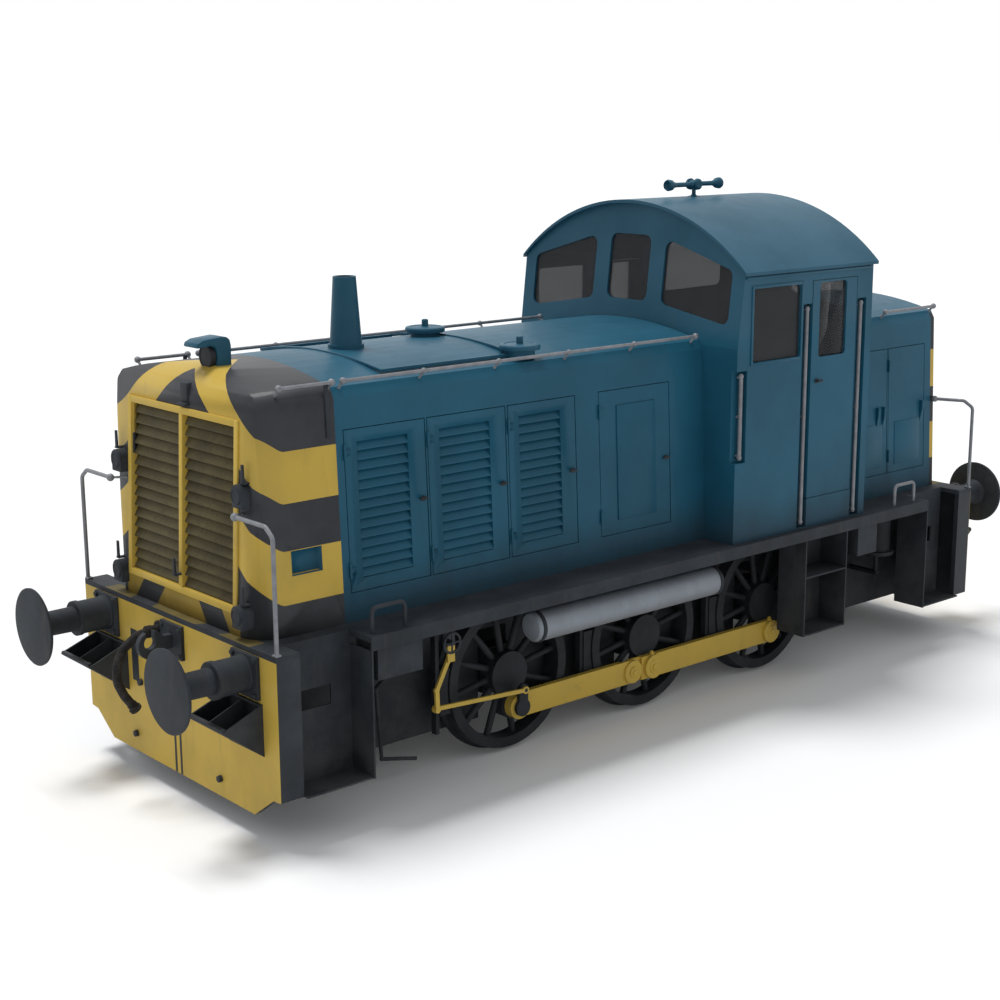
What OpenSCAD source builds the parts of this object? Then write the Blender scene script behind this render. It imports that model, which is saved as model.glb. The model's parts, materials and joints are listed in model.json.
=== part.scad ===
// Six-wheel diesel shunting locomotive with outside coupling rods.
// +X points to the bonnet end, +Y to the left side, +Z up.
// The origin is midway between the buffer faces, level with the flange tips.

/* [Overall] */
// length over the faces of the buffer heads
buffer_span = 8166; // [8000:2:8300]
// length over the outer faces of the buffer beams
beam_span = 7024; // [6900:4:7100]
// width over the buffer beams
beam_width = 2386; // [2300:2:2420]
// width over the footplate
footplate_width = 2482; // [2440:2:2540]
// height of the footplate surface
footplate_z = 1231; // [1200:1:1260]

/* [Wheels] */
// diameter of the wheel tread
wheel_dia = 1067; // [1040:1:1090]
// depth of the flange below the tread
flange_depth = 28; // [24:1:32]
// distance between the first and last axles
wheelbase = 2660; // [2600:2:2720]
// place of the middle axle along the frame
middle_axle_x = 30; // [0:1:60]
// clear width between the backs of two wheels
back_to_back = 1360; // [1350:1:1370]
// width of one wheel rim with its flange
rim_width = 130; // [120:1:135]
// radius of the crank pins about the axle
crank_radius = 230; // [210:1:240]
// angle of the left cranks, from +X towards +Z
crank_angle = 262; // [240:1:280]

/* [Bonnet] */
// width of the bonnet where it meets the footplate
bonnet_width = 1790; // [1740:2:1840]
// inward lean of the bonnet sides
bonnet_lean = 2.5; // [1.5:0.1:3.5]
// height of the bonnet crown
bonnet_crown_z = 2828; // [2800:1:2860]
// thickness of the bonnet walls and doors
bonnet_wall = 40; // [30:1:50]
// place where the radiator casing meets the bonnet
casing_x = 2796; // [2780:1:2840]
// place of the radiator face at the footplate
nose_x = 3446; // [3420:1:3460]
// backward lean of the radiator face
nose_lean = 3; // [2:0.1:4]

/* [Cab] */
// place of the cab front wall
cab_front_x = -512; // [-530:1:-500]
// place of the cab rear wall
cab_rear_x = -2058; // [-2080:1:-2040]
// width over the cab sides
cab_width = 2360; // [2320:2:2380]
// thickness of the cab walls and doors
cab_wall = 40; // [30:1:50]
// height of the eaves
eaves_z = 3234; // [3200:1:3260]
// height of the roof crown
roof_z = 3714; // [3680:1:3740]
// thickness of the roof
roof_t = 24; // [16:1:30]
// angle of the upper end wall behind the vertical
window_lean = 6.7; // [5:0.1:8]

/* [Rear bonnet] */
// place of the end of the rear bonnet
rear_bonnet_x = -3376; // [-3400:1:-3340]

/* [Clearances] */
// gap round every door
door_gap = 5; // [5:0.5:8]
// gap at the free edge of every door, where its thickness swings past
swing_gap = 8; // [8:0.5:12]
// radial running clearance on the crank pins
pin_clearance = 0.5; // [0.3:0.1:1]
// side gap between rods, hubs and cranks
rod_gap = 8; // [6:1:10]
// gap between pieces that only rest near each other
seat_gap = 0.3; // [0.2:0.1:0.5]

/* [Hidden] */
$fn = 48;

// wheels and axles
axle_z = wheel_dia / 2 + flange_depth;
axles_x = [middle_axle_x + wheelbase / 2, middle_axle_x, middle_axle_x - wheelbase / 2];
wheel_back_y = back_to_back / 2;
wheel_face_y = wheel_back_y + rim_width;
rim_depth = 72;
flange_width = 32;
hub_radius = 160;
hub_proud = 6;
axle_radius = 85;
spoke_count = 12;
spoke_radius = 24;
spoke_phase = 20;
crank_boss_radius = 105;
pin_radius = 50;

// frame plates and footplate
footplate_t = 36;
frame_plate_y = 610;
frame_plate_t = 30;
frame_bottom_z = 220;
valance_t = 12;
valance_bottom_z = 1141;
beam_t = 40;
beam_depth = 169;
beam_bottom_z = 150;
beam_corner_z = 312;
beam_chamfer_y = 893;
beam_shoulder_y = 1110;
beam_face_x = beam_span / 2;
beam_back_x = beam_face_x - beam_depth;
notch_x = 2848;
notch_y = 1010;
underside_z = footplate_z - footplate_t;
half_width = footplate_width / 2;
box_x = notch_x + 12;
stretchers_x = [2550, 700, -650, -2350];
stretcher_t = 30;
stretcher_z = [420, 1100];
horn_width = 260;
horn_top = 300;

// steps
step_t = 12;
step_bottom_z = 322;
cab_step_x = [-1820, -1312];
cab_step_depth = 280;
cab_step_bottom_z = 366;
cab_step_tread_z = 831;

// buffers and drawgear
buffer_y = 868;
buffer_z = 1065;
buffer_head_radius = 262;
buffer_head_t = 34;
buffer_base = 290;
buffer_base_t = 28;
buffer_tube_radius = 112;
buffer_tube_length = 262;
buffer_ram_radius = 84;
hook_z = 1068;

// coupling rods, from the wheel outwards
rod_in_y = wheel_face_y + hub_proud + rod_gap;
rod_t = 42;
rod_out_y = rod_in_y + rod_t;
rod_height = 176;
rod_boss_radius = 90;
rod_boss_out_y = rod_out_y + 26;
knuckle_x = 209;
knuckle_pin_radius = 34;
crank_arm_t = 25;
return_crank_in_y = rod_boss_out_y + rod_gap;
return_crank_out_y = return_crank_in_y + crank_arm_t;
link_in_y = return_crank_out_y + rod_gap;
link_t = 18;
return_radius = 100;
return_angle = 250;
link_reach = [795, 51];
link_pin_radius = 14;

// bonnet
bonnet_half = bonnet_width / 2;
shoulder_z = 2700;
// the bend at the shoulder: how far below, above and inside its corner it starts
shoulder_drop = 40.5;
shoulder_lift = 22;
shoulder_inset = 36;
// each door's hinge edge and free edge
bonnet_doors = [[2735, 2103], [2078, 1420], [1392, 783], [550, -150]];
rear_doors = [[-2120, -2732], [-2757, -3240]];
door_sill = 190;
door_height = 1032;
casing_corner = 210;
nose_radius = 200;
foothold_x = [2942, 3170];
foothold_z = [373, 530];
foothold_depth = 60;
foothold_wall = 6;
grille_foot = 669;
grille_z = [1377, 2566];
slat_count = 15;
slat_t = 26;
grille_rim = 35;
grille_set_back = 12;
grille_t = 48;

// door hinges
hinge_radius = 9;
hinge_pin_radius = 4;
hinge_length = 50;
hinge_inset = 140;
leaf_t = 5;
leaf_length = 45;
leaf_foot = 8;
cab_hinge_x = -1850;
cab_hinge_drop = 12;
cab_hinges_z = [1660, 2300, 2860];

// cab
cab_half = cab_width / 2;
cab_mid_x = (cab_front_x + cab_rear_x) / 2;
cab_floor_z = 1440;
floor_t = 20;
desk_depth = 330;
desk_half = 650;
desk_height = 1050;
seat_spot = [-1130, 760];
seat_post_radius = 60;
seat_height = 520;
seat_half = 190;
seat_t = 80;
seat_back_t = 60;
seat_back_height = 1050;
lean_z = 2687;
door_x = [-1866, -1344];
door_z = [1464, 3126];
door_window_x = [-1744, -1425];
door_window_z = [2546, 3110];
side_window_x = [-1205, -674];
side_window_z = [2574, 3112];
window_corner = 60;
end_window_z = [2960, 3454];
end_window_middle = 215;
// y, lowest z and highest z at the inner and outer edge of a side light
end_light_edges = [[368, 2950, 3437], [1060, 2839, 3240]];
glass_t = 8;
glass_set_back = 16;
roof_overhang = 24;
roof_rise = roof_z - eaves_z;
roof_radius = (pow(cab_half + roof_overhang, 2) + pow(roof_rise, 2)) / (2 * roof_rise);
rail_recess_depth = 52;
rail_recess_width = 110;
rail_radius = 15;
rail_set_back = 20;
rail_offset = 12;
pillar_wall = 30;
// x, lowest z and highest z of each cab handrail recess
cab_rails = [[cab_front_x - 55, 1861, 2503], [-1290, 1262, 2939], [-1930, 1262, 2939]];

// ---- helpers ----

module both_sides() {
    children();
    mirror([0, 1, 0]) children();
}

module both_ends() {
    children();
    mirror([1, 0, 0]) children();
}

// a box given by its two corners
module box(low, high) {
    translate(low) cube(high - low);
}

// a round bar between two points
module bar(from, to, radius) {
    span = to - from;
    length = norm(span);
    turn = atan2(span.y, span.x);
    tilt = acos(span.z / length);
    translate(from) rotate([0, tilt, turn]) cylinder(r = radius, h = length, $fn = 24);
}

// a cylinder along +Y from one y to another
module y_cylinder(x, z, y_from, y_to, radius) {
    translate([x, y_from, z]) rotate([-90, 0, 0]) cylinder(r = radius, h = y_to - y_from);
}

module x_cylinder(x_from, x_to, y, z, radius) {
    translate([x_from, y, z]) rotate([0, 90, 0]) cylinder(r = radius, h = x_to - x_from);
}

// left bonnet side: x along the locomotive, y outward from the leaning skin, z up it
module on_left_side() {
    translate([0, bonnet_half, footplate_z]) rotate([bonnet_lean, 0, 0]) children();
}

module on_side(side) {
    if (side > 0) on_left_side() children();
    else mirror([0, 1, 0]) on_left_side() children();
}

// corners of a convex outline replaced by arcs
function rounded(points, radius, steps = 4) = let (count = len(points)) [
    for (i = [0 : count - 1]) let (
        corner = points[i],
        before = points[(i + count - 1) % count] - corner,
        after = points[(i + 1) % count] - corner,
        to_before = before / norm(before),
        to_after = after / norm(after),
        half = acos(to_before * to_after) / 2,
        centre = corner + (to_before + to_after) / norm(to_before + to_after) * radius / sin(half),
        first = corner + to_before * radius / tan(half) - centre,
        last = corner + to_after * radius / tan(half) - centre,
        from = atan2(first[1], first[0]),
        sweep = (atan2(last[1], last[0]) - from + 540) % 360 - 180
    ) for (k = [0 : steps]) let (a = from + sweep * k / steps) centre + radius * [cos(a), sin(a)]];

function lean_in(z) = (z - footplate_z) * tan(bonnet_lean);
function crown_points(half, top, edge, steps) = let (
        sag = top - edge,
        radius = (half * half + sag * sag) / (2 * sag)
    ) [for (i = [0 : steps]) let (y = half - 2 * half * i / steps)
        [y, top - radius + sqrt(radius * radius - y * y)]];

// bonnet outline in the YZ plane; inset moves walls and roof inwards
module bonnet_outline(inset) {
    foot = bonnet_half - inset;
    shoulder = bonnet_half - lean_in(shoulder_z) - inset;
    bend_z = shoulder_z - inset - shoulder_drop;
    edge_z = shoulder_z - inset + shoulder_lift;
    polygon(concat(
        [[-foot, footplate_z], [foot, footplate_z], [shoulder, bend_z]],
        crown_points(shoulder - shoulder_inset, bonnet_crown_z - inset, edge_z, 12),
        [[-shoulder, bend_z]]));
}

// an outline drawn in the YZ plane, pushed from x_from to x_to
module along_x(x_from, x_to) {
    translate([x_from, 0, 0]) rotate([90, 0, 90]) linear_extrude(x_to - x_from) children();
}

// ---- frame ----

module beam_outline() {
    half = beam_width / 2;
    polygon([
        [-half, underside_z], [half, underside_z],
        [half, beam_corner_z], [beam_shoulder_y, beam_corner_z - 8],
        [beam_chamfer_y, beam_bottom_z], [-beam_chamfer_y, beam_bottom_z],
        [-beam_shoulder_y, beam_corner_z - 8], [-half, beam_corner_z]]);
}

module footplate() {
    color([0.19, 0.20, 0.21]) {
        difference() {
            box([-beam_face_x, -half_width, underside_z], [beam_face_x, half_width, footplate_z]);
            both_ends() both_sides() {
                box([notch_x, notch_y, underside_z - 1], [beam_back_x, half_width + 1, footplate_z + 1]);
                box([beam_back_x - 1, beam_width / 2, underside_z - 1],
                    [beam_face_x + 1, half_width + 1, footplate_z + 1]);
            }
        }
        both_sides()
            box([-notch_x, half_width - valance_t, valance_bottom_z], [notch_x, half_width, underside_z]);
    }
}

// room for an axlebox in a frame plate
module horn_gap(x) {
    box([x - horn_width / 2, 0, frame_bottom_z - 1],
        [x + horn_width / 2, wheel_back_y, axle_z + horn_top]);
}

module frame_plates() {
    color([0.17, 0.18, 0.19]) both_sides() difference() {
        box([-beam_face_x + beam_t, frame_plate_y - frame_plate_t / 2, frame_bottom_z],
            [beam_face_x - beam_t, frame_plate_y + frame_plate_t / 2, underside_z]);
        for (x = axles_x) horn_gap(x);
    }
}

module stretchers() {
    reach = frame_plate_y - frame_plate_t / 2;
    color([0.17, 0.18, 0.19]) for (x = stretchers_x)
        box([x - stretcher_t / 2, -reach, stretcher_z[0]], [x + stretcher_t / 2, reach, stretcher_z[1]]);
}

module buffer_beams() {
    color([0.62, 0.55, 0.27]) both_ends() {
        along_x(beam_face_x - beam_t, beam_face_x) beam_outline();
        both_sides() box([beam_back_x, beam_width / 2 - beam_t, beam_corner_z],
            [beam_face_x - beam_t, beam_width / 2, underside_z]);
    }
}

// ---- steps ----

module corner_step() {
    // back plate with a toe hole, rear gusset and bottom tread
    difference() {
        box([notch_x, notch_y - step_t, step_bottom_z], [beam_back_x, notch_y, underside_z]);
        box([3000, notch_y - step_t - 1, 782], [3226, notch_y + 1, 912]);
    }
    box([notch_x - step_t, 950, step_bottom_z - step_t], [notch_x, half_width, valance_bottom_z]);
    box([notch_x, notch_y - step_t, step_bottom_z - step_t], [beam_back_x, half_width - 10, step_bottom_z]);
}

module cab_steps() {
    near = half_width - 6;
    far = near - cab_step_depth;
    box([cab_step_x[0], far, cab_step_bottom_z], [cab_step_x[1], far + step_t, underside_z]);
    for (x = [cab_step_x[0], cab_step_x[1] - step_t])
        box([x, far, cab_step_bottom_z], [x + step_t, near - valance_t, underside_z]);
    for (z = [cab_step_bottom_z, cab_step_tread_z])
        box([cab_step_x[0], far, z], [cab_step_x[1], near - valance_t, z + step_t]);
}

// wedge bracket with two treads under a front buffer
module buffer_step() {
    inner = 640;
    outer = 1030;
    x0 = beam_face_x;
    for (y = [inner, (inner + outer) / 2, outer])
        translate([0, y, 0]) rotate([90, 0, 0]) linear_extrude(10)
            polygon([[x0, 900], [x0, 565], [x0 + 290, 782]]);
    translate([0, outer, 0]) rotate([90, 0, 0]) linear_extrude(outer - inner)
        polygon([[x0, 580], [x0, 565], [x0 + 290, 782], [x0 + 290, 797]]);
}

module steps() {
    color([0.20, 0.21, 0.22]) both_sides() {
        both_ends() corner_step();
        cab_steps();
        both_ends() buffer_step();
    }
}

// ---- buffers and drawgear ----

module buffer() {
    x0 = beam_face_x;
    face = buffer_span / 2;
    translate([x0, buffer_y, buffer_z]) {
        translate([0, -buffer_base / 2, -buffer_base / 2]) cube([buffer_base_t, buffer_base, buffer_base]);
        rotate([0, 90, 0]) cylinder(r = buffer_tube_radius, h = buffer_tube_length);
        rotate([0, 90, 0]) cylinder(r = buffer_ram_radius, h = face - x0 - 1);
        translate([face - x0 - buffer_head_t, 0, 0]) rotate([0, 90, 0])
            cylinder(r = buffer_head_radius, h = buffer_head_t, $fn = 96);
    }
}

module buffers() {
    color([0.16, 0.16, 0.16]) both_ends() both_sides() buffer();
}

module draw_hook() {
    x0 = beam_face_x;
    // face plate, shank and an open hook
    box([x0, -130, hook_z - 112], [x0 + 24, 130, hook_z + 112]);
    translate([0, 22, 0]) rotate([90, 0, 0]) linear_extrude(44) difference() {
        union() {
            translate([x0 + 24, hook_z - 45]) square([140, 90]);
            translate([x0 + 170, hook_z]) circle(r = 95);
        }
        translate([x0 + 185, hook_z + 18]) circle(r = 42);
        translate([x0 + 150, hook_z + 18]) square([60, 100]);
    }
}

module draw_hooks() {
    color([0.15, 0.15, 0.15]) both_ends() draw_hook();
}

// vacuum hose hanging forward of the beam
module brake_hose() {
    r = 26;
    bend = 150;
    y = -180;
    x0 = beam_face_x;
    top = 1100;
    low = top - 2 * bend;
    translate([x0, y, top]) rotate([0, 90, 0]) cylinder(r = r, h = 170);
    translate([x0 + 170, y, top - bend]) rotate([90, 0, 0])
        rotate([0, 0, -90]) rotate_extrude(angle = 180) translate([bend, 0]) circle(r = r);
    translate([x0 + 60, y, low]) rotate([0, 90, 0]) cylinder(r = r, h = 110);
    translate([x0 + 40, y, low]) rotate([0, 90, 0]) cylinder(r = r + 12, h = 60);
}

module brake_hoses() {
    color([0.1, 0.1, 0.1]) both_ends() brake_hose();
}

// ---- bonnet ----

module door_cut(range) {
    box([range[1] - swing_gap, -bonnet_wall - 60, door_sill - door_gap],
        [range[0] + door_gap, 60, door_sill + door_height + door_gap]);
}

// heights of the hinges up the skin
hinges_z = [door_sill + hinge_inset, door_sill + door_height - hinge_inset];

// fixed half of a hinge: a pin between two knuckles, each on its leaf
module hinge_post(range) {
    x = range[0] + door_gap / 2;
    for (z = hinges_z) {
        translate([x, hinge_radius, z - hinge_length]) cylinder(r = hinge_pin_radius, h = 2 * hinge_length);
        for (low = [z - hinge_length, z + hinge_length / 2 + seat_gap]) {
            high = low + hinge_length / 2 - seat_gap;
            translate([x, hinge_radius, low]) cylinder(r = hinge_radius, h = high - low);
            box([x, -1, low], [range[0] + door_gap + leaf_foot, leaf_t, high]);
        }
    }
}

// a hinged panel with its moving knuckles
module hinged_panel(range) {
    x = range[0] + door_gap / 2;
    difference() {
        union() {
            box([range[1], -bonnet_wall, door_sill], [range[0], 0, door_sill + door_height]);
            for (z = hinges_z) {
                translate([x, hinge_radius, z - hinge_length / 2])
                    cylinder(r = hinge_radius, h = hinge_length);
                box([range[0] - leaf_length, 0, z - hinge_length / 2], [x, leaf_t, z + hinge_length / 2]);
            }
        }
        for (z = hinges_z) translate([x, hinge_radius, z - hinge_length])
            cylinder(r = hinge_pin_radius + pin_clearance, h = 2 * hinge_length);
    }
}

module bonnet() {
    color([0.17, 0.31, 0.39]) {
        difference() {
            along_x(cab_front_x, casing_x) bonnet_outline(0);
            translate([0, 0, -1]) along_x(cab_front_x + bonnet_wall, casing_x + 1)
                bonnet_outline(bonnet_wall);
            for (side = [1, -1], range = bonnet_doors) on_side(side) door_cut(range);
        }
        for (side = [1, -1], range = bonnet_doors) on_side(side) hinge_post(range);
    }
}

module bonnet_door(side, index) {
    color([0.17, 0.31, 0.39]) on_side(side) hinged_panel(bonnet_doors[index]);
}

// plan of the radiator casing, with its front corners rounded
module casing_plan(inset) {
    front = nose_x - inset;
    half = bonnet_half - inset;
    corner = casing_corner - inset / 2;
    polygon(concat(
        [[casing_x - inset, -half], [casing_x - inset, half]],
        [for (i = [0 : 8]) let (a = 90 - i * 90 / 8)
            [front - corner + corner * cos(a), half - corner + corner * sin(a)]],
        [for (i = [0 : 8]) let (a = -i * 90 / 8)
            [front - corner + corner * cos(a), -half + corner + corner * sin(a)]]));
}

// side view of the casing: a leaning face that rounds into the crown
module casing_profile(inset) {
    crown = bonnet_crown_z - inset;
    centre_z = crown - nose_radius;
    centre_x = nose_x - inset - (centre_z - footplate_z) * tan(nose_lean) - nose_radius / cos(nose_lean);
    arc = 90 - nose_lean;
    polygon(concat(
        [[casing_x - inset, footplate_z], [nose_x - inset, footplate_z]],
        [for (i = [0 : 8]) let (a = nose_lean + arc * i / 8)
            [centre_x + nose_radius * cos(a), centre_z + nose_radius * sin(a)]],
        [[casing_x - inset, crown]]));
}

module casing_block(inset) {
    intersection() {
        along_x(casing_x - inset, nose_x) bonnet_outline(inset);
        translate([0, 0, footplate_z]) linear_extrude(bonnet_crown_z - footplate_z) casing_plan(inset);
        along_y(-bonnet_half, bonnet_half) casing_profile(inset);
    }
}

// upright pieces turned to lean with the radiator face
module lean_back() {
    translate([nose_x, 0, footplate_z]) rotate([0, -nose_lean, 0])
        translate([-nose_x, 0, -footplate_z]) children();
}

// outline of the grille, narrowing upwards with the bonnet sides
module grille_outline(inset) {
    low = grille_z[0] + inset;
    high = grille_z[1] - inset;
    half_low = grille_foot - lean_in(low) - inset;
    half_high = grille_foot - lean_in(high) - inset;
    polygon([[-half_low, low], [half_low, low], [half_high, high], [-half_high, high]]);
}

module foothold(wall) {
    box([foothold_x[0] - wall, -foothold_depth - wall, foothold_z[0] - wall],
        [foothold_x[1] + wall, wall > 0 ? -1 : 1, foothold_z[1] + wall]);
}

module radiator_casing() {
    color([0.62, 0.55, 0.27]) difference() {
        casing_block(0);
        difference() {
            translate([0, 0, -1]) casing_block(bonnet_wall);
            for (side = [1, -1]) on_side(side) foothold(foothold_wall);
        }
        for (side = [1, -1]) on_side(side) foothold(0);
        lean_back() along_x(nose_x - 2 * bonnet_wall, nose_x + 1) grille_outline(0);
    }
}

module radiator_grille() {
    front = nose_x - grille_set_back;
    back = front - grille_t;
    pitch = (grille_z[1] - grille_z[0] - 2 * grille_rim) / slat_count;
    color([0.42, 0.38, 0.24]) lean_back() difference() {
        along_x(back, front) grille_outline(seat_gap);
        difference() {
            along_x(back - 1, front + 1) grille_outline(grille_rim);
            box([back, -grille_rim / 2, grille_z[0]], [front, grille_rim / 2, grille_z[1]]);
            for (i = [1 : slat_count - 1])
                box([back, -bonnet_half, grille_z[0] + grille_rim + i * pitch - slat_t / 2],
                    [front - 6, bonnet_half, grille_z[0] + grille_rim + i * pitch + slat_t / 2]);
        }
    }
}

// ---- rear bonnet ----

module rear_bonnet() {
    color([0.17, 0.31, 0.39]) {
        difference() {
            along_x(rear_bonnet_x, cab_rear_x) bonnet_outline(0);
            translate([0, 0, -1]) along_x(rear_bonnet_x + bonnet_wall, cab_rear_x - bonnet_wall)
                bonnet_outline(bonnet_wall);
            for (side = [1, -1], range = rear_doors) on_side(side) door_cut(range);
        }
        for (side = [1, -1], range = rear_doors) on_side(side) hinge_post(range);
    }
}

module rear_door(side, index) {
    color([0.17, 0.31, 0.39]) on_side(side) hinged_panel(rear_doors[index]);
}

// ---- cab ----

// side view of the cab, in x and z; inset moves its ends inwards
module cab_side_outline(inset) {
    front = cab_front_x - inset;
    rear = cab_rear_x + inset;
    top = roof_z + 50;
    polygon([
        [rear, footplate_z], [front, footplate_z], [front, lean_z],
        [front - (top - lean_z) * tan(window_lean), top], [rear, top]]);
}

module cab_end_outline(inset) {
    half = cab_half - inset;
    intersection() {
        translate([-half, footplate_z]) square([2 * half, roof_z - footplate_z]);
        translate([0, roof_z - roof_t - roof_radius]) circle(r = roof_radius - inset, $fn = 180);
    }
}

module along_y(y_from, y_to) {
    translate([0, y_to, 0]) rotate([90, 0, 0]) linear_extrude(y_to - y_from) children();
}

module cab_block(inset) {
    intersection() {
        along_x(cab_rear_x - 1, cab_front_x + 1) cab_end_outline(inset);
        along_y(-cab_half - 1, cab_half + 1) cab_side_outline(inset);
    }
}

// the three lights of an end wall, in y and z; inset shrinks each for its pane
module end_windows(inset) {
    half = end_window_middle - inset;
    polygon(rounded([[-half, end_window_z[0] + inset], [half, end_window_z[0] + inset],
        [half, end_window_z[1] - inset], [-half, end_window_z[1] - inset]], window_corner));
    inner = end_light_edges[0];
    outer = end_light_edges[1];
    for (side = [-1, 1]) {
        near = side * (inner[0] + inset);
        far = side * (outer[0] - inset);
        polygon(rounded([[near, inner[1] + inset], [far, outer[1] + inset],
            [far, outer[2] - inset], [near, inner[2] - inset]], window_corner));
    }
}

// a light in a side wall or door, in x and z
module side_light(x_range, z_range, inset) {
    low = [x_range[0] + inset, z_range[0] + inset];
    high = [x_range[1] - inset, z_range[1] - inset];
    polygon(rounded([low, [high[0], low[1]], high, [low[0], high[1]]], window_corner / 2));
}

module rail_recess(rail) {
    box([rail[0] - rail_recess_width / 2, cab_half - rail_recess_depth, rail[1] - 20],
        [rail[0] + rail_recess_width / 2, cab_half + 1, rail[2] + 20]);
}

module cab_cavity() {
    difference() {
        translate([0, 0, -1]) cab_block(cab_wall);
        // thicker pillars behind the handrail recesses
        half = rail_recess_width / 2 + pillar_wall;
        both_sides() for (rail = cab_rails)
            box([rail[0] - half, cab_half - rail_recess_depth - pillar_wall, 0],
                [rail[0] + half, cab_half, rail[2] + 2 * pillar_wall]);
    }
}

// fixed arms and pins of a cab door's hinges
module cab_hinge_arms() {
    y = cab_half - cab_wall - cab_hinge_drop;
    for (z = cab_hinges_z) {
        translate([cab_hinge_x, y, z - hinge_length]) cylinder(r = hinge_pin_radius, h = 2 * hinge_length);
        for (low = [z - hinge_length, z + hinge_length / 2 + seat_gap]) {
            high = low + hinge_length / 2 - seat_gap;
            translate([cab_hinge_x, y, low]) cylinder(r = hinge_radius, h = high - low);
            box([door_x[0] - door_gap - 1, y - hinge_radius, low], [cab_hinge_x, y - 1, high]);
        }
    }
}

module cab() {
    color([0.17, 0.31, 0.39]) {
        difference() {
            cab_block(0);
            cab_cavity();
            both_sides() {
                box([door_x[0] - door_gap, cab_half - cab_wall - 100, door_z[0] - door_gap],
                    [door_x[1] + swing_gap, cab_half + 1, door_z[1] + door_gap]);
                along_y(cab_half - 200, cab_half + 1) side_light(side_window_x, side_window_z, 0);
                for (rail = cab_rails) rail_recess(rail);
            }
            along_x(cab_rear_x - 1, cab_front_x + 1) end_windows(0);
        }
        both_sides() cab_hinge_arms();
    }
}

module cab_roof() {
    color([0.20, 0.36, 0.45]) intersection() {
        along_x(cab_rear_x - roof_overhang - 8, cab_front_x - 44) difference() {
            translate([0, roof_z - roof_radius]) circle(r = roof_radius, $fn = 180);
            translate([0, roof_z - roof_t - roof_radius]) circle(r = roof_radius + seat_gap, $fn = 180);
        }
        box([cab_rear_x - 200, -cab_half - roof_overhang, eaves_z - roof_t - 10],
            [cab_front_x + 200, cab_half + roof_overhang, roof_z]);
    }
}

module cab_glass() {
    half = cab_half;
    color([0.5, 0.52, 0.55]) {
        both_sides() along_y(half - glass_set_back - glass_t, half - glass_set_back)
            side_light(side_window_x, side_window_z, seat_gap);
        intersection() {
            along_y(-half, half) difference() {
                cab_side_outline(glass_set_back);
                cab_side_outline(glass_set_back + glass_t);
            }
            along_x(cab_rear_x - 1, cab_front_x + 1) end_windows(seat_gap);
        }
    }
}

module cab_door(side) {
    y = cab_half - cab_wall - cab_hinge_drop;
    mirror([0, side > 0 ? 0 : 1, 0]) {
        color([0.17, 0.31, 0.39]) difference() {
            union() {
                difference() {
                    box([door_x[0], cab_half - cab_wall, door_z[0]], [door_x[1], cab_half, door_z[1]]);
                    along_y(0, cab_half + 1) side_light(door_window_x, door_window_z, 0);
                }
                for (z = cab_hinges_z) {
                    translate([cab_hinge_x, y, z - hinge_length / 2])
                        cylinder(r = hinge_radius, h = hinge_length);
                    box([cab_hinge_x - hinge_radius + 1, y, z - hinge_length / 2],
                        [cab_hinge_x + hinge_radius - 1, cab_half - cab_wall, z + hinge_length / 2]);
                }
            }
            for (z = cab_hinges_z) translate([cab_hinge_x, y, z - hinge_length])
                cylinder(r = hinge_pin_radius + pin_clearance, h = 2 * hinge_length);
        }
        color([0.5, 0.52, 0.55]) along_y(cab_half - glass_set_back - glass_t, cab_half - glass_set_back)
            side_light(door_window_x, door_window_z, seat_gap);
    }
}

module cab_interior() {
    inside = cab_half - cab_wall;
    front = cab_front_x - cab_wall;
    color([0.25, 0.25, 0.24]) {
        intersection() {
            box([cab_rear_x, -inside, cab_floor_z - floor_t], [cab_front_x, inside, cab_floor_z]);
            cab_cavity();
        }
        // driving desk across the front wall and two seats
        box([front - desk_depth, -desk_half, cab_floor_z], [front, desk_half, cab_floor_z + desk_height]);
        both_sides() translate([seat_spot[0], seat_spot[1], cab_floor_z]) {
            cylinder(r = seat_post_radius, h = seat_height);
            box([-seat_half, -seat_half, seat_height], [seat_half, seat_half, seat_height + seat_t]);
            box([-seat_half, -seat_half, seat_height + seat_t],
                [-seat_half + seat_back_t, seat_half, seat_back_height]);
        }
    }
}

// ---- fittings ----

stack_x = 2100;
stack_top_z = 3306;
module exhaust_stack() {
    color([0.17, 0.31, 0.39]) difference() {
        translate([stack_x, 0, bonnet_crown_z - 20]) union() {
            cylinder(r1 = 112, r2 = 78, h = stack_top_z - bonnet_crown_z + 20);
            cylinder(r = 122, h = 45);
        }
        translate([stack_x, 0, bonnet_crown_z + 120]) cylinder(r = 62, h = stack_top_z - bonnet_crown_z);
        along_x(stack_x - 200, stack_x + 200) bonnet_outline(0);
    }
}

// x and y of each filler cap
caps = [[1303, -152], [1150, 690]];
cap_radius = 140;
cap_height = 42;
cap_knob_radius = 22;
cap_knob_height = 60;
camber_radius = 4100;
// a cap stands a little above the camber under it
function cap_top_z(y) = bonnet_crown_z + cap_height - y * y / (2 * camber_radius);

module bonnet_caps() {
    color([0.17, 0.31, 0.39]) difference() {
        for (cap = caps) translate([cap[0], cap[1], cap_top_z(cap[1])]) {
            translate([0, 0, -90]) cylinder(r = cap_radius, h = 90);
            cylinder(r = cap_knob_radius, h = cap_knob_height);
        }
        along_x(caps[1][0] - 300, caps[0][0] + 300) bonnet_outline(0);
    }
}

lamp_y = 70;
cowl_x = [3080, 3190];
cowl_half = 92;
cowl_top_z = 3005;
hood_reach = 150;
hood_t = 28;
lamp_radius = 76;
lamp_drop = 115;
lamp_proud = 50;
marker_half = 60;
marker_height = 150;
marker_proud = 62;
// y and lowest z of each marker lamp on the radiator face
marker_lamps = [[745, 2050], [745, 1300], [-745, 2050], [-745, 1300]];
iron_y = [0, 90];
iron_z = [30, 165];
iron_x = [160, 50];

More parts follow.
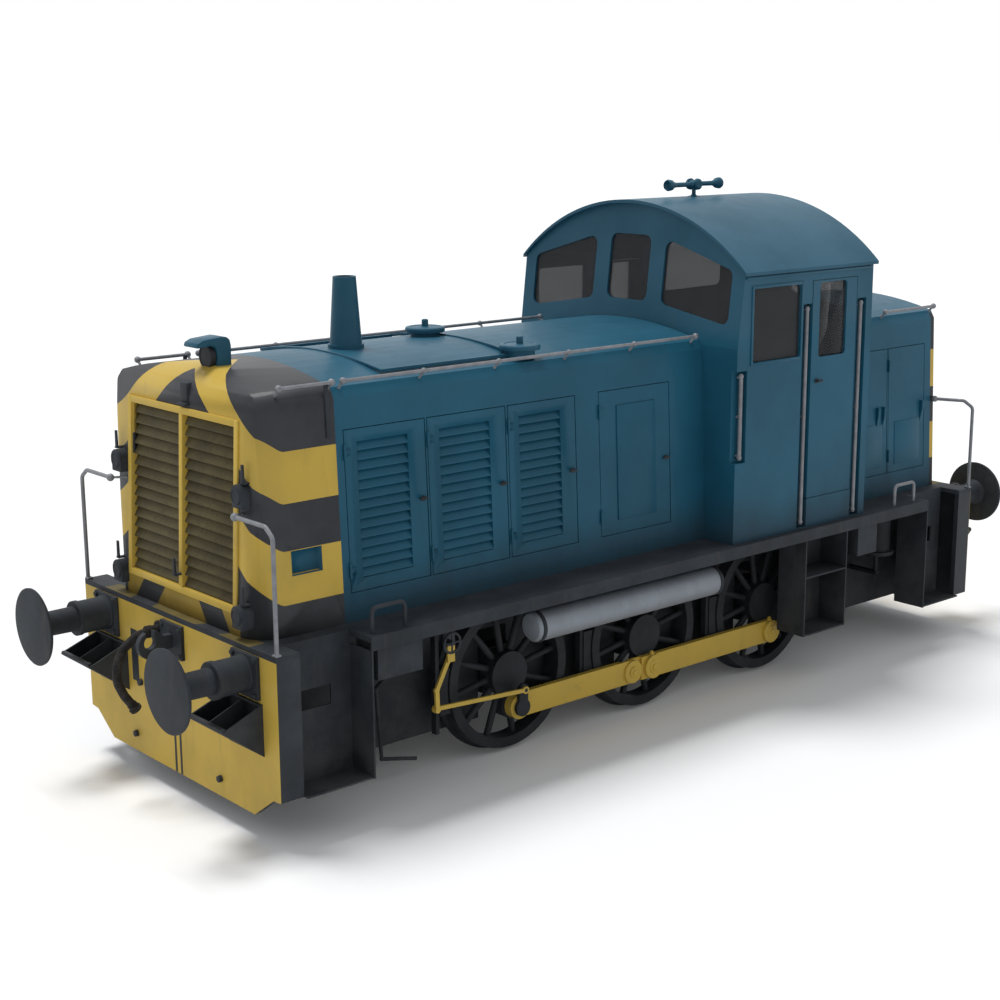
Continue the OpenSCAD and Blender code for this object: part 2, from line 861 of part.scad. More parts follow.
// lamp case with a round top
module marker_lamp(spot) {
    along_x(nose_x - 2 * marker_height, nose_x - lean_in(spot[1]) + marker_proud) translate(spot) {
        translate([-marker_half, 0]) square([2 * marker_half, marker_height - marker_half]);
        translate([0, marker_height - marker_half]) circle(r = marker_half);
    }
}

module lamps() {
    low = lamp_y - cowl_half;
    high = lamp_y + cowl_half;
    color([0.12, 0.12, 0.12]) difference() {
        union() {
            // headlamp: a post with a hood over a round lamp
            box([cowl_x[0], low, shoulder_z], [cowl_x[1], high, cowl_top_z - hood_t / 2]);
            box([cowl_x[0], low, cowl_top_z - hood_t], [cowl_x[1] + hood_reach, high, cowl_top_z]);
            x_cylinder(cowl_x[1] - 1, cowl_x[1] + lamp_proud, lamp_y, cowl_top_z - lamp_drop, lamp_radius);
            for (spot = marker_lamps) marker_lamp(spot);
            // lamp iron over the grille
            box([nose_x - iron_x[0], iron_y[0], grille_z[1] + iron_z[0]],
                [nose_x - iron_x[1], iron_y[1], grille_z[1] + iron_z[1]]);
        }
        casing_block(0);
    }
}

rail_end = 30;
module cab_rail(rail) {
    y = cab_half - rail_set_back;
    translate([rail[0] - rail_offset, y, rail[1]]) cylinder(r = rail_radius, h = rail[2] - rail[1]);
    for (z = [rail[1] + rail_end, (rail[1] + rail[2]) / 2, rail[2] - rail_end])
        y_cylinder(rail[0] - rail_offset, z, cab_half - rail_recess_depth, y, rail_radius - 4);
}

post_x = 3495;
post_y = 1178;
post_radius = 14;
post_bend = 80;
// a post on the footplate corner, bent over towards a point on the bonnet
module corner_rail(x, target, top) {
    foot = [x, post_y, footplate_z];
    way = (target - [x, post_y]) / norm(target - [x, post_y]);
    low_bend = [x, post_y, top - post_bend];
    high_bend = [x + way[0] * post_bend, post_y + way[1] * post_bend, top];
    bar(foot, low_bend, post_radius);
    bar(low_bend, high_bend, post_radius);
    bar(high_bend, [target[0], target[1], top], post_radius);
    for (bend = [low_bend, high_bend]) translate(bend) rotate([20, 30, 0]) sphere(r = post_radius + 1.5);
}

loop_radius = 14;
loop_bend = 40;
loop_y = 1170;
loop_top_z = 1394;
// an inverted U standing on the footplate
module grab_loop(x_low, x_high) {
    for (x = [x_low, x_high]) translate([x, loop_y, footplate_z])
        cylinder(r = loop_radius, h = loop_top_z - loop_bend - footplate_z);
    for (end = [[x_low + loop_bend, 90], [x_high - loop_bend, 0]])
        translate([end[0], loop_y, loop_top_z - loop_bend]) rotate([90, 0, 0]) rotate([0, 0, end[1]])
            rotate_extrude(angle = 90) translate([loop_bend, 0]) circle(r = loop_radius);
    x_cylinder(x_low + loop_bend, x_high - loop_bend, loop_y, loop_top_z, loop_radius);
}

top_rail_y = 850;
top_rail_z = 2762;
top_rail_radius = 12;
// a rail along the shoulder, held off it by collared stalks
module top_rail(x_low, x_high, stalks) {
    x_cylinder(x_low, x_high, top_rail_y, top_rail_z, top_rail_radius);
    pitch = (x_high - x_low) / (stalks - 1);
    for (i = [0 : stalks - 1]) translate([x_low + pitch * i, top_rail_y, top_rail_z]) {
        x_cylinder(-16, 16, 0, 0, 20);
        rotate([135, 0, 0]) cylinder(r = 10, h = 110);
    }
}

module handrails() {
    color([0.48, 0.48, 0.5]) {
        both_sides() {
            for (rail = cab_rails) cab_rail(rail);
            grab_loop(2535, 2790);
            grab_loop(-2730, -2475);
        }
        difference() {
            both_sides() {
                corner_rail(post_x, [3300, 745], 2030);
                top_rail(2821, 3204, 2);
            }
            casing_block(0);
        }
        difference() {
            both_sides() {
                corner_rail(-post_x, [rear_bonnet_x + 30, 835], 1975);
                top_rail(-420, 2735, 6);
            }
            along_x(rear_bonnet_x, casing_x) bonnet_outline(0);
        }
    }
}

horn_z = 3808;
// twin trumpets on one post, one blowing each way
module horn() {
    color([0.3, 0.35, 0.35]) {
        translate([cab_mid_x, 0, roof_z]) cylinder(r = 45, h = 12);
        translate([cab_mid_x, 0, roof_z]) cylinder(r = 18, h = horn_z - roof_z);
        y_cylinder(cab_mid_x, horn_z, -75, 75, 48);
        both_sides() for (way = [1, -1]) translate([cab_mid_x, 42, horn_z]) rotate([0, way * 90, 0]) {
            cylinder(r = 20, h = 330);
            translate([0, 0, 330]) cylinder(r1 = 20, r2 = 46, h = 70);
        }
    }
}

// ---- wheels ----

// one wheel with its back at y = 0 and its face towards +Y
module wheel() {
    radius = wheel_dia / 2;
    hub_depth = rim_width + hub_proud;
    rotate([-90, 0, 0]) {
        rotate_extrude($fn = 96) polygon([
            [radius - rim_depth, 0], [radius + flange_depth, 0],
            [radius + flange_depth, flange_width / 2], [radius + 4, flange_width],
            [radius, rim_width], [radius - rim_depth, rim_width]]);
        cylinder(r = hub_radius, h = hub_depth);
    }
    for (i = [0 : spoke_count - 1]) rotate([0, -spoke_phase - i * 360 / spoke_count, 0])
        translate([hub_radius - 20, rim_width / 2, 0]) rotate([0, 90, 0])
            cylinder(r = spoke_radius, h = radius - rim_depth - hub_radius + 30, $fn = 24);
}

function pin_offset(angle) = [crank_radius * cos(angle), crank_radius * sin(angle)];

// crank boss and pin for the wheel whose back is at y = 0
module crank_pin(angle, length) {
    offset_xz = pin_offset(angle);
    translate([offset_xz[0], 0, offset_xz[1]]) rotate([-90, 0, 0]) {
        translate([0, 0, 30]) cylinder(r = crank_boss_radius, h = rim_width - 30 + hub_proud);
        cylinder(r = pin_radius, h = length);
    }
}

module wheelset(index) {
    x = axles_x[index];
    pin_end = rod_boss_out_y - wheel_back_y;
    color([0.2, 0.2, 0.21]) translate([x, 0, axle_z]) {
        y_cylinder(0, 0, -wheel_back_y, wheel_back_y, axle_radius);
        for (side = [1, -1]) mirror([0, side > 0 ? 0 : 1, 0]) translate([0, wheel_back_y, 0]) {
            wheel();
            crank_pin(side > 0 ? crank_angle : crank_angle + 90, pin_end);
        }
        if (index == 0) return_crank();
    }
}

// arm on the left front crank pin that drives the link
module return_crank() {
    from = pin_offset(crank_angle);
    to = return_radius * [cos(return_angle), sin(return_angle)];
    reach = norm(to - from);
    turn = atan2(to[1] - from[1], to[0] - from[0]);
    translate([from[0], rod_boss_out_y, from[1]]) rotate([-90, 0, 0])
        cylinder(r = pin_radius, h = return_crank_out_y - rod_boss_out_y);
    translate([from[0], return_crank_in_y, from[1]]) rotate([0, -turn, 0]) {
        rotate([-90, 0, 0]) cylinder(r = 62, h = crank_arm_t);
        translate([0, 0, -40]) cube([reach, crank_arm_t, 80]);
        translate([reach, 0, 0]) rotate([-90, 0, 0]) {
            cylinder(r = 40, h = crank_arm_t);
            cylinder(r = link_pin_radius, h = crank_arm_t + rod_gap + link_t);
        }
    }
}

// ---- coupling rods ----

module rod_bore(x, radius) {
    y_cylinder(x, 0, rod_in_y - 1, rod_boss_out_y + 1, radius + pin_clearance);
}

// rods are drawn with the middle crank pin at the origin of x and z
module rod_at(side) {
    angle = side > 0 ? crank_angle : crank_angle + 90;
    pin = pin_offset(angle);
    mirror([0, side > 0 ? 0 : 1, 0]) translate([middle_axle_x + pin[0], 0, axle_z + pin[1]]) children();
}

module rod_rear(side) {
    rod_at(side) difference() {
        union() {
            box([-wheelbase / 2, rod_in_y, -rod_height / 2], [knuckle_x, rod_out_y, rod_height / 2]);
            for (x = [0, -wheelbase / 2]) y_cylinder(x, 0, rod_in_y, rod_boss_out_y, rod_boss_radius);
            y_cylinder(knuckle_x, 0, rod_in_y, rod_out_y, rod_boss_radius - 2);
        }
        rod_bore(0, pin_radius);
        rod_bore(-wheelbase / 2, pin_radius);
        // tongue of the knuckle: the outer half of the thickness is cut away
        box([knuckle_x - rod_boss_radius - 8, rod_in_y + rod_t / 2, -rod_height],
            [knuckle_x + rod_height, rod_boss_out_y + 1, rod_height]);
        rod_bore(knuckle_x, knuckle_pin_radius);
    }
}

module rod_front(side) {
    tongue_y = rod_in_y + rod_t / 2 + seat_gap;
    rod_at(side) {
        difference() {
            union() {
                box([knuckle_x + rod_boss_radius + 12, rod_in_y, -rod_height / 2],
                    [wheelbase / 2, rod_out_y, rod_height / 2]);
                box([knuckle_x, tongue_y, -rod_height / 2],
                    [knuckle_x + rod_boss_radius + 40, rod_out_y, rod_height / 2]);
                y_cylinder(knuckle_x, 0, tongue_y, rod_out_y + 16, rod_boss_radius - 4);
                y_cylinder(wheelbase / 2, 0, rod_in_y, rod_boss_out_y, rod_boss_radius);
            }
            rod_bore(wheelbase / 2, pin_radius);
        }
        y_cylinder(knuckle_x, 0, rod_in_y, tongue_y + 1, knuckle_pin_radius);
    }
}

module rods(side) {
    color([0.6, 0.53, 0.25]) {
        rod_rear(side);
        rod_front(side);
    }
}

module drive_link() {
    eye = return_radius * [cos(return_angle), sin(return_angle)];
    x = axles_x[0] + eye[0];
    z = axle_z + eye[1];
    length = norm(link_reach);
    turn = atan2(link_reach[1], link_reach[0]);
    color([0.6, 0.53, 0.25]) translate([x, link_in_y, z]) rotate([0, -turn, 0]) difference() {
        union() {
            translate([0, 0, -14]) cube([length, link_t, 28]);
            for (at = [0, length]) translate([at, 0, 0]) rotate([-90, 0, 0]) cylinder(r = 26, h = link_t);
        }
        translate([0, -1, 0]) rotate([-90, 0, 0])
            cylinder(r = link_pin_radius + pin_clearance, h = link_t + 2);
    }
}

// ---- underframe equipment ----

lever_y = link_in_y + link_t + door_gap + 1;
lever_t = 18;
lever_half = 16;
bracket_half = 30;
bracket_t = 12;
// pivot, elbow and foot of the lever, in x and z
lever_points = [[2016, 866], [2129, 656], [2123, 516]];

module lever_outline() {
    for (point = lever_points) translate(point) circle(r = lever_half + 4);
    for (i = [0 : len(lever_points) - 2]) {
        span = lever_points[i + 1] - lever_points[i];
        translate(lever_points[i]) rotate(atan2(span[1], span[0])) translate([0, -lever_half])
            square([norm(span), 2 * lever_half]);
    }
}

// bent lever that the link works, on its bracket under the footplate
module drive_lever() {
    top = lever_points[0];
    color([0.6, 0.53, 0.25]) {
        along_y(lever_y, lever_y + lever_t) lever_outline();
        box([top[0] - bracket_half, lever_y + lever_t, top[1] - bracket_half - 4],
            [top[0] + bracket_half, lever_y + lever_t + bracket_t, underside_z]);
    }
}

wheel_spot = [2141, 1150, 1028];
// hand valve: a four-spoked wheel on a bracket under the footplate
module valve_wheel() {
    color([0.15, 0.15, 0.15]) translate(wheel_spot) {
        rotate([90, 0, 0]) rotate_extrude() translate([66, 0]) circle(r = 9, $fn = 24);
        for (turn = [0, 90]) rotate([0, turn, 0]) translate([0, 0, -66]) cylinder(r = 6, h = 132, $fn = 24);
        y_cylinder(0, 0, -60, 14, 16);
        box([-20, -74, -30], [20, -59, underside_z - wheel_spot[2]]);
    }
}

module air_reservoirs() {
    color([0.62, 0.63, 0.65]) both_sides() {
        x_cylinder(-440, 1410, 1085, 968, 108);
        for (x = [-300, 485, 1270]) box([x - 20, 1070, 1070], [x + 20, 1100, underside_z]);
    }
}

pipe_radius = 13;
// sand pipe from the box down to the rail ahead of the front wheel
sand_pipe = [[2500, 1040, 950], [2480, 770, 700], [2430, 750, 190], [2140, 745, 120]];
module sand_gear() {
    color([0.24, 0.25, 0.26]) both_sides() {
        box([2440, 1000, 935], [2790, half_width - valance_t - 5, underside_z]);
        box([-2190, 990, 905], [-1950, half_width - valance_t - 5, underside_z]);
        for (i = [0 : len(sand_pipe) - 2]) bar(sand_pipe[i], sand_pipe[i + 1], pipe_radius);
        for (i = [1 : len(sand_pipe) - 2]) translate(sand_pipe[i]) sphere(r = pipe_radius + 2, $fn = 24);
    }
}

brake_block_gap = 8;
cylinder_spot = [-2630, 900];
cylinder_z = 780;
module brake_gear() {
    color([0.22, 0.23, 0.24]) both_sides() {
        for (x = axles_x) translate([x, 0, 0]) {
            difference() {
                box([wheel_dia / 2 - 60, wheel_back_y + 36, axle_z - 170],
                    [wheel_dia / 2 + 75, wheel_face_y - 10, axle_z + 150]);
                y_cylinder(0, axle_z, wheel_back_y, wheel_face_y, wheel_dia / 2 + brake_block_gap);
            }
            box([wheel_dia / 2 + 75, wheel_back_y + 60, axle_z - 300],
                [wheel_dia / 2 + 105, wheel_face_y - 20, underside_z]);
        }
        translate([cylinder_spot[0], cylinder_spot[1], 0]) {
            translate([0, 0, cylinder_z]) cylinder(r = 107, h = underside_z - cylinder_z);
            translate([0, 0, cylinder_z - 22]) cylinder(r = 140, h = 30);
            translate([0, 0, 590]) cylinder(r = 18, h = cylinder_z - 590);
            // crank arm from the piston rod to the frame plate
            box([-30, frame_plate_y + frame_plate_t / 2 - cylinder_spot[1], 575], [30, 25, 600]);
        }
    }
}

module axleboxes() {
    color([0.22, 0.22, 0.22]) both_sides() for (x = axles_x) difference() {
        box([x - horn_width / 2 + seat_gap, frame_plate_y - 70, axle_z - 150],
            [x + horn_width / 2 - seat_gap, wheel_back_y - 6, axle_z + 170]);
        y_cylinder(x, axle_z, 0, wheel_back_y, axle_radius + pin_clearance);
    }
}

module machinery() {
    color([0.28, 0.29, 0.3]) {
        // engine and generator block
        box([-250, -420, footplate_z], [2300, 420, 2450]);
        // radiator core
        box([3050, -580, footplate_z], [3250, 580, 2500]);
        // traction motor between the frame plates, on its stretcher
        box([-1150, -380, 440], [stretchers_x[2] - stretcher_t / 2, 380, 760]);
        // batteries
        box([-3250, -600, footplate_z], [-2250, 600, 2200]);
    }
}

footplate();
frame_plates();
stretchers();
buffer_beams();
steps();
buffers();
draw_hooks();
brake_hoses();
bonnet();
radiator_casing();
radiator_grille();
bonnet_door(1, 0);  // bonnet_door_left_1
bonnet_door(1, 1);  // bonnet_door_left_2
bonnet_door(1, 2);  // bonnet_door_left_3
bonnet_door(1, 3);  // bonnet_door_left_4
bonnet_door(-1, 0);  // bonnet_door_right_1
bonnet_door(-1, 1);  // bonnet_door_right_2
bonnet_door(-1, 2);  // bonnet_door_right_3
bonnet_door(-1, 3);  // bonnet_door_right_4
rear_bonnet();
rear_door(1, 0);  // rear_door_left_1
rear_door(1, 1);  // rear_door_left_2
rear_door(-1, 0);  // rear_door_right_1
rear_door(-1, 1);  // rear_door_right_2
cab();
cab_roof();
cab_glass();
cab_interior();
cab_door(1);  // cab_door_left
cab_door(-1);  // cab_door_right
exhaust_stack();
bonnet_caps();
lamps();
handrails();
horn();
wheelset(0);  // wheelset_front
wheelset(1);  // wheelset_middle
wheelset(2);  // wheelset_rear
rods(1);  // rods_left
rods(-1);  // rods_right
drive_link();
drive_lever();
valve_wheel();
air_reservoirs();
sand_gear();
brake_gear();
axleboxes();
machinery();
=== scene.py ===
import sys

import json
import math

import bmesh
import bpy
from mathutils import Euler, Matrix, Vector
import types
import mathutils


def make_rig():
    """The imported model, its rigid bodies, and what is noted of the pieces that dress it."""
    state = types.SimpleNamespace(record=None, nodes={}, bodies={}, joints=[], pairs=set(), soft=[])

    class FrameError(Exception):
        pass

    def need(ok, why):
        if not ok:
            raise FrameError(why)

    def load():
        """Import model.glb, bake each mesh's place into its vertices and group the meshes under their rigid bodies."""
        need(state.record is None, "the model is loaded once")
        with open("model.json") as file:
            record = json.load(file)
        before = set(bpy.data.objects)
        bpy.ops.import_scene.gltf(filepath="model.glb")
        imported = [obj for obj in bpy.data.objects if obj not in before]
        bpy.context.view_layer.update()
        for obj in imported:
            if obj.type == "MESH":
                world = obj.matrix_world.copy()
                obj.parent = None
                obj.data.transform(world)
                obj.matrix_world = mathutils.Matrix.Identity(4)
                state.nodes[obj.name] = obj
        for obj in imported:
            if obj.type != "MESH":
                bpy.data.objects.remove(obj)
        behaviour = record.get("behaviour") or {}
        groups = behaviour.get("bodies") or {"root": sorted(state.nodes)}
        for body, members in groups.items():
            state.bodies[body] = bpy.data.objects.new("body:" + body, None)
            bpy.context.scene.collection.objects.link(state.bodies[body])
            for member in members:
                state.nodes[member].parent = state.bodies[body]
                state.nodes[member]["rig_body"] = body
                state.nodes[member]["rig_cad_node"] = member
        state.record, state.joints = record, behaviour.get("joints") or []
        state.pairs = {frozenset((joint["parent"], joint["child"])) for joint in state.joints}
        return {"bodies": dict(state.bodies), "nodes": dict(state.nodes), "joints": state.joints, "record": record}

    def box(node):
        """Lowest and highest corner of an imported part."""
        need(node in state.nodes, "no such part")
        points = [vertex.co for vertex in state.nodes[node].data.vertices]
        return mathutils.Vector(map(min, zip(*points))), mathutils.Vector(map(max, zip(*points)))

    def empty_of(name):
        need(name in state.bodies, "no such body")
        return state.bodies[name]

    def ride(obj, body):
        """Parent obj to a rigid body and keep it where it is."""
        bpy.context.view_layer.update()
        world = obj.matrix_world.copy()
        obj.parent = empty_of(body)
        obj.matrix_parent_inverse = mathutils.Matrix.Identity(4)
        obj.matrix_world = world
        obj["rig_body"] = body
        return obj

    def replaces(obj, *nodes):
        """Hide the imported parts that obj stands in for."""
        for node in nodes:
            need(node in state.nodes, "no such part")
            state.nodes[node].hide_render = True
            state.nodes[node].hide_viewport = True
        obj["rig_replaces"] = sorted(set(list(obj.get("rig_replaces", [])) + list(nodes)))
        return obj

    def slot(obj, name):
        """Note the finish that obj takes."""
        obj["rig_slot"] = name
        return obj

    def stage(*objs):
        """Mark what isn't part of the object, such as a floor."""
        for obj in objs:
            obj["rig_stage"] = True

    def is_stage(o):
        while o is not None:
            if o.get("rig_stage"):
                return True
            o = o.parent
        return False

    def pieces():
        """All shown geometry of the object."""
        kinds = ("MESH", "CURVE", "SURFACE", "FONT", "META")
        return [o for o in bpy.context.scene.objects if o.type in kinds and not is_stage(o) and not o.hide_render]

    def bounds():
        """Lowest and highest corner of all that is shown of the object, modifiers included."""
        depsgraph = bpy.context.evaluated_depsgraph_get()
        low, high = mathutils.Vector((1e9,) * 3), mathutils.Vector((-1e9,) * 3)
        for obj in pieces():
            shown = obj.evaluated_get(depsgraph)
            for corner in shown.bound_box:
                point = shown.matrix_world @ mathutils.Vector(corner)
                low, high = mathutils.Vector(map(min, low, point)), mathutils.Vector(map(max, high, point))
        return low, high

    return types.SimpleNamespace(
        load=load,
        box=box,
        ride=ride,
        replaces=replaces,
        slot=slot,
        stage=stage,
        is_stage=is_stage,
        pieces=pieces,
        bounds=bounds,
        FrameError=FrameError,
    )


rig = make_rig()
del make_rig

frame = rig.load()
NODES = frame["nodes"]
CAD_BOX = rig.bounds()

bl_info = {
    "name": "Diesel Shunting Locomotive",
    "version": (1, 0, 0),
    "blender": (4, 5, 0),
    "location": "View3D > Sidebar > Locomotive",
    "description": "Adds the finishes and the fine fittings to the locomotive's frame",
    "category": "Object",
}

# Sizes below are in metres: +X is the bonnet end, +Y the left side, +Z up, and the rail head is at RAIL.
RAIL = 0.028
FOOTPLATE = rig.box("bonnet")[0].z
SIDE_Y = 0.895
LEVER_HEAD = 0.945
ROOF_RADIUS, ROOF_CENTRE = 1.750, 1.964
CAB_KNEE, CAB_LEAN = 2.687, math.radians(6.7)
BODYSIDE_LEAN = math.radians(2.5)
NOSE_LEAN = math.radians(3.0)


# ---------------------------------------------------------------- sizes and colours a user can change

class PaintSettings(bpy.types.PropertyGroup):
    """Colours of the paints and metals."""
    blue: bpy.props.FloatVectorProperty(
        name="Body blue", description="Paint of the bonnets, doors and cab",
        subtype="COLOR", size=3, min=0, max=1, default=(0.014, 0.098, 0.160))
    yellow: bpy.props.FloatVectorProperty(
        name="Warning yellow", description="Paint of the ends, rods and levers",
        subtype="COLOR", size=3, min=0, max=1, default=(0.640, 0.440, 0.078))
    black: bpy.props.FloatVectorProperty(
        name="Frame black", description="Weathered black of frame, steps and buffers",
        subtype="COLOR", size=3, min=0, max=1, default=(0.034, 0.039, 0.046))
    steel: bpy.props.FloatVectorProperty(
        name="Running gear", description="Cast steel of the wheels and brake gear",
        subtype="COLOR", size=3, min=0, max=1, default=(0.024, 0.027, 0.031))
    rail: bpy.props.FloatVectorProperty(
        name="Handrail grey", description="Paint of the handrails",
        subtype="COLOR", size=3, min=0, max=1, default=(0.250, 0.260, 0.280))
    tank: bpy.props.FloatVectorProperty(
        name="Reservoir grey", description="Paint of the air reservoirs",
        subtype="COLOR", size=3, min=0, max=1, default=(0.300, 0.330, 0.370))


class StageSettings(bpy.types.PropertyGroup):
    """The camera and the light."""
    distance: bpy.props.FloatProperty(
        name="Camera distance", description="From the middle of the locomotive to the lens",
        unit="LENGTH", default=13.5, min=8, max=60)
    azimuth: bpy.props.FloatProperty(
        name="Camera azimuth", description="Compass angle of the view, 0 looking along +Y",
        subtype="ANGLE", default=math.radians(139.40))
    elevation: bpy.props.FloatProperty(
        name="Camera elevation", description="Angle of the view above the horizon",
        subtype="ANGLE", default=math.radians(12.75))
    roll: bpy.props.FloatProperty(
        name="Camera roll", description="Turn of the camera about its own axis",
        subtype="ANGLE", default=math.radians(-0.32))
    lens: bpy.props.FloatProperty(
        name="Lens", description="Focal length on a 36 mm wide sensor",
        unit="CAMERA", default=61.5, min=20, max=200)
    eye: bpy.props.FloatVectorProperty(
        name="Camera place", description="Where the lens is", subtype="TRANSLATION",
        unit="LENGTH", size=3, default=(8.766, 9.362, 4.358))
    sun: bpy.props.FloatProperty(
        name="Key light", description="Strength of the soft overhead light",
        default=2.0, min=0, max=10)
    sky: bpy.props.FloatProperty(
        name="Sky light", description="Strength of the even light from all round",
        default=0.46, min=0, max=3)


def paints():
    return bpy.context.scene.loco_paint


def colour(values, factor=1.0):
    return (values[0] * factor, values[1] * factor, values[2] * factor, 1.0)


# ---------------------------------------------------------------- shader expressions

class Wire:
    """A node's output socket that takes part in expressions."""

    def __init__(self, finish, socket):
        self.finish, self.socket = finish, socket

    def _maths(self, operation, first, second=0.0):
        return self.finish.node("Math", {"operation": operation}, {0: first, 1: second})

    def __add__(self, other): return self._maths("ADD", self, other)
    def __radd__(self, other): return self._maths("ADD", other, self)
    def __sub__(self, other): return self._maths("SUBTRACT", self, other)
    def __rsub__(self, other): return self._maths("SUBTRACT", other, self)
    def __mul__(self, other): return self._maths("MULTIPLY", self, other)
    def __rmul__(self, other): return self._maths("MULTIPLY", other, self)
    def __truediv__(self, other): return self._maths("DIVIDE", self, other)
    def __rtruediv__(self, other): return self._maths("DIVIDE", other, self)
    def __gt__(self, other): return self._maths("GREATER_THAN", self, other)
    def __lt__(self, other): return self._maths("LESS_THAN", self, other)
    def __pow__(self, other): return self._maths("POWER", self, other)
    def __abs__(self): return self._maths("ABSOLUTE", self)
    def least(self, other): return self._maths("MINIMUM", self, other)
    def most(self, other): return self._maths("MAXIMUM", self, other)

    def angle(self, other):
        return self._maths("ARCTAN2", self, other)

    def step(self, low, high):
        """0 below low, 1 above high, smooth between."""
        return self.finish.node(
            "MapRange", {"interpolation_type": "SMOOTHSTEP"},
            {"Value": self, "From Min": low, "From Max": high})


class Finish:
    """One procedural material and the nodes it is made of."""

    def __init__(self, name):
        self.material = bpy.data.materials.new(name)
        self.material.use_nodes = True
        self.tree = self.material.node_tree
        self.tree.nodes.clear()
        self.place = self.node("TexCoord", {}, {}, "Object")

    def node(self, kind, settings=None, values=None, output=0):
        made = self.tree.nodes.new("ShaderNode" + kind)
        for key, value in (settings or {}).items():
            setattr(made, key, value)
        for key, value in (values or {}).items():
            socket = made.inputs[key]
            if isinstance(value, Wire):
                self.tree.links.new(value.socket, socket)
            else:
                socket.default_value = value
        return Wire(self, made.outputs[output]) if len(made.outputs) else None

    def axes(self):
        return [self.node("SeparateXYZ", {}, {0: self.place}, i) for i in range(3)]

    def noise(self, scale, detail=4.0, rough=0.55, stretch=(1, 1, 1)):
        """Cloud pattern about 0.5; stretch enlarges the pattern along each axis."""
        seen = self.node("Mapping", {"vector_type": "POINT"},
                         {"Vector": self.place, "Scale": tuple(1 / s for s in stretch)})
        return self.node("TexNoise", {}, {
            "Vector": seen, "Scale": scale, "Detail": detail, "Roughness": rough})

    def blend(self, amount, first, second):
        """first where amount is 0, second where it is 1."""
        return self.node("Mix", {"data_type": "RGBA", "clamp_factor": True},
                         {0: amount, 6: first, 7: second}, 2)

    def shader(self, base, rough, metal=0.0, height=None, depth=0.002, **constants):
        values = {"Base Color": base, "Roughness": rough, "Metallic": metal,
                  "Specular IOR Level": DULL_GLOSS}
        if height is not None:
            values["Normal"] = self.node(
                "Bump", {}, {"Strength": 1.0, "Distance": depth, "Height": height})
        values.update({key.replace("_", " "): value for key, value in constants.items()})
        return self.node("BsdfPrincipled", {}, values)

    def done(self, surface):
        self.node("OutputMaterial", {}, {"Surface": surface})
        return self.material


DULL_GLOSS = 0.16
FINISHES = {}


def finish(name):
    """The material of that name, made when it is first asked for."""
    if name not in FINISHES:
        FINISHES[name] = globals()["finish_" + name]()
    return FINISHES[name]


def road_dirt(f, low, high, streaks=0.35):
    """Brake dust and mud: 1 low down, fading to 0 above high, in vertical runs."""
    x, y, z = f.axes()
    runs = f.noise(5.0, 5, 0.6, stretch=(1, 1, 6))
    clouds = f.noise(2.2, 3, 0.5)
    edge = z + (clouds - 0.5) * 0.22 + (runs - 0.5) * streaks
    return 1 - edge.step(low, high)


def blue_paint(f, x, y, z):
    """Faded teal blue with rain runs, dust on top and brake dirt low down."""
    p = paints()
    fade = f.noise(1.4, 4, 0.55)
    runs = f.noise(7.0, 6, 0.6, stretch=(1, 1, 9))
    fine = f.noise(90.0, 3, 0.6)
    base = f.blend(fade.step(0.30, 0.72), colour(p.blue, 0.88), colour(p.blue, 1.16))
    base = f.blend(runs.step(0.56, 0.80) * 0.25, base, colour((0.040, 0.100, 0.135)))
    dust = z.step(2.70, 2.86) * fade.step(0.25, 0.65) * 0.22
    base = f.blend(dust, base, colour((0.070, 0.125, 0.165)))
    dirt = road_dirt(f, FOOTPLATE - 0.10, FOOTPLATE + 0.40)
    base = f.blend(dirt * 0.72, base, colour((0.030, 0.038, 0.048)))
    chips = fine.step(0.70, 0.76) * fade.step(0.52, 0.62)
    base = f.blend(chips * 0.30, base, colour((0.06, 0.055, 0.05)))
    rough = 0.46 + dirt * 0.28 + (runs - 0.5) * 0.16 + (fine - 0.5) * 0.05
    peel = f.noise(240.0, 2, 0.5) * 0.25 + f.noise(3.0, 2, 0.5) * 0.75
    return base, rough, peel, fade


def finish_body_blue():
    f = Finish("body_blue")
    base, rough, peel, fade = blue_paint(f, *f.axes())
    return f.done(f.shader(base, rough, 0.0, peel, 0.0012, Coat_Weight=0.05))


def finish_cab_shell():
    """Body blue outside, a dark lining inside the cab."""
    f = Finish("cab_shell")
    x, y, z = f.axes()
    base, rough, peel, fade = blue_paint(f, x, y, z)
    low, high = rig.box("cab")
    wall = 0.030
    front = high.x - (z - CAB_KNEE).most(0.0) * math.tan(CAB_LEAN)
    inside = (x > low.x + wall) * (x < front - wall) * (abs(y) < high.y - wall)
    arch = ((z - ROOF_CENTRE) ** 2 + y * y) ** 0.5
    inside = inside * (arch < ROOF_RADIUS - 0.012)
    pocket = (abs(x + 0.579) < 0.060) + (abs(x + 1.302) < 0.060) + (abs(x + 1.942) < 0.060)
    inside = inside * (1 - pocket.least(1.0) * (abs(y) > 1.080))
    base = f.blend(inside, base, colour((0.012, 0.012, 0.013)))
    return f.done(f.shader(base, rough, 0.0, peel, 0.0012, Coat_Weight=0.05))


def finish_rear_stripes():
    """Body blue whose rear face and corners carry the end stripes."""
    p = paints()
    f = Finish("rear_stripes")
    x, y, z = f.axes()
    base, rough, peel, fade = blue_paint(f, x, y, z)
    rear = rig.box("rear_bonnet")[0].x
    face = (x < rear + 0.045) * (z < 2.700)
    slant = z + (0.86 - abs(y)) * 0.55 * (x < rear + 0.004)
    band = (slant > 2.397) + (slant < 2.082) * (slant > 1.782) + (slant < 1.472)
    ends, clouds, runs, spots = weather_yellow(f, colour(p.yellow), x, y, z)
    ends = f.blend(band.least(1.0), ends, colour((0.030, 0.032, 0.037)))
    base = f.blend(face, base, ends)
    return f.done(f.shader(base, rough, 0.0, peel, 0.0012, Coat_Weight=0.05))


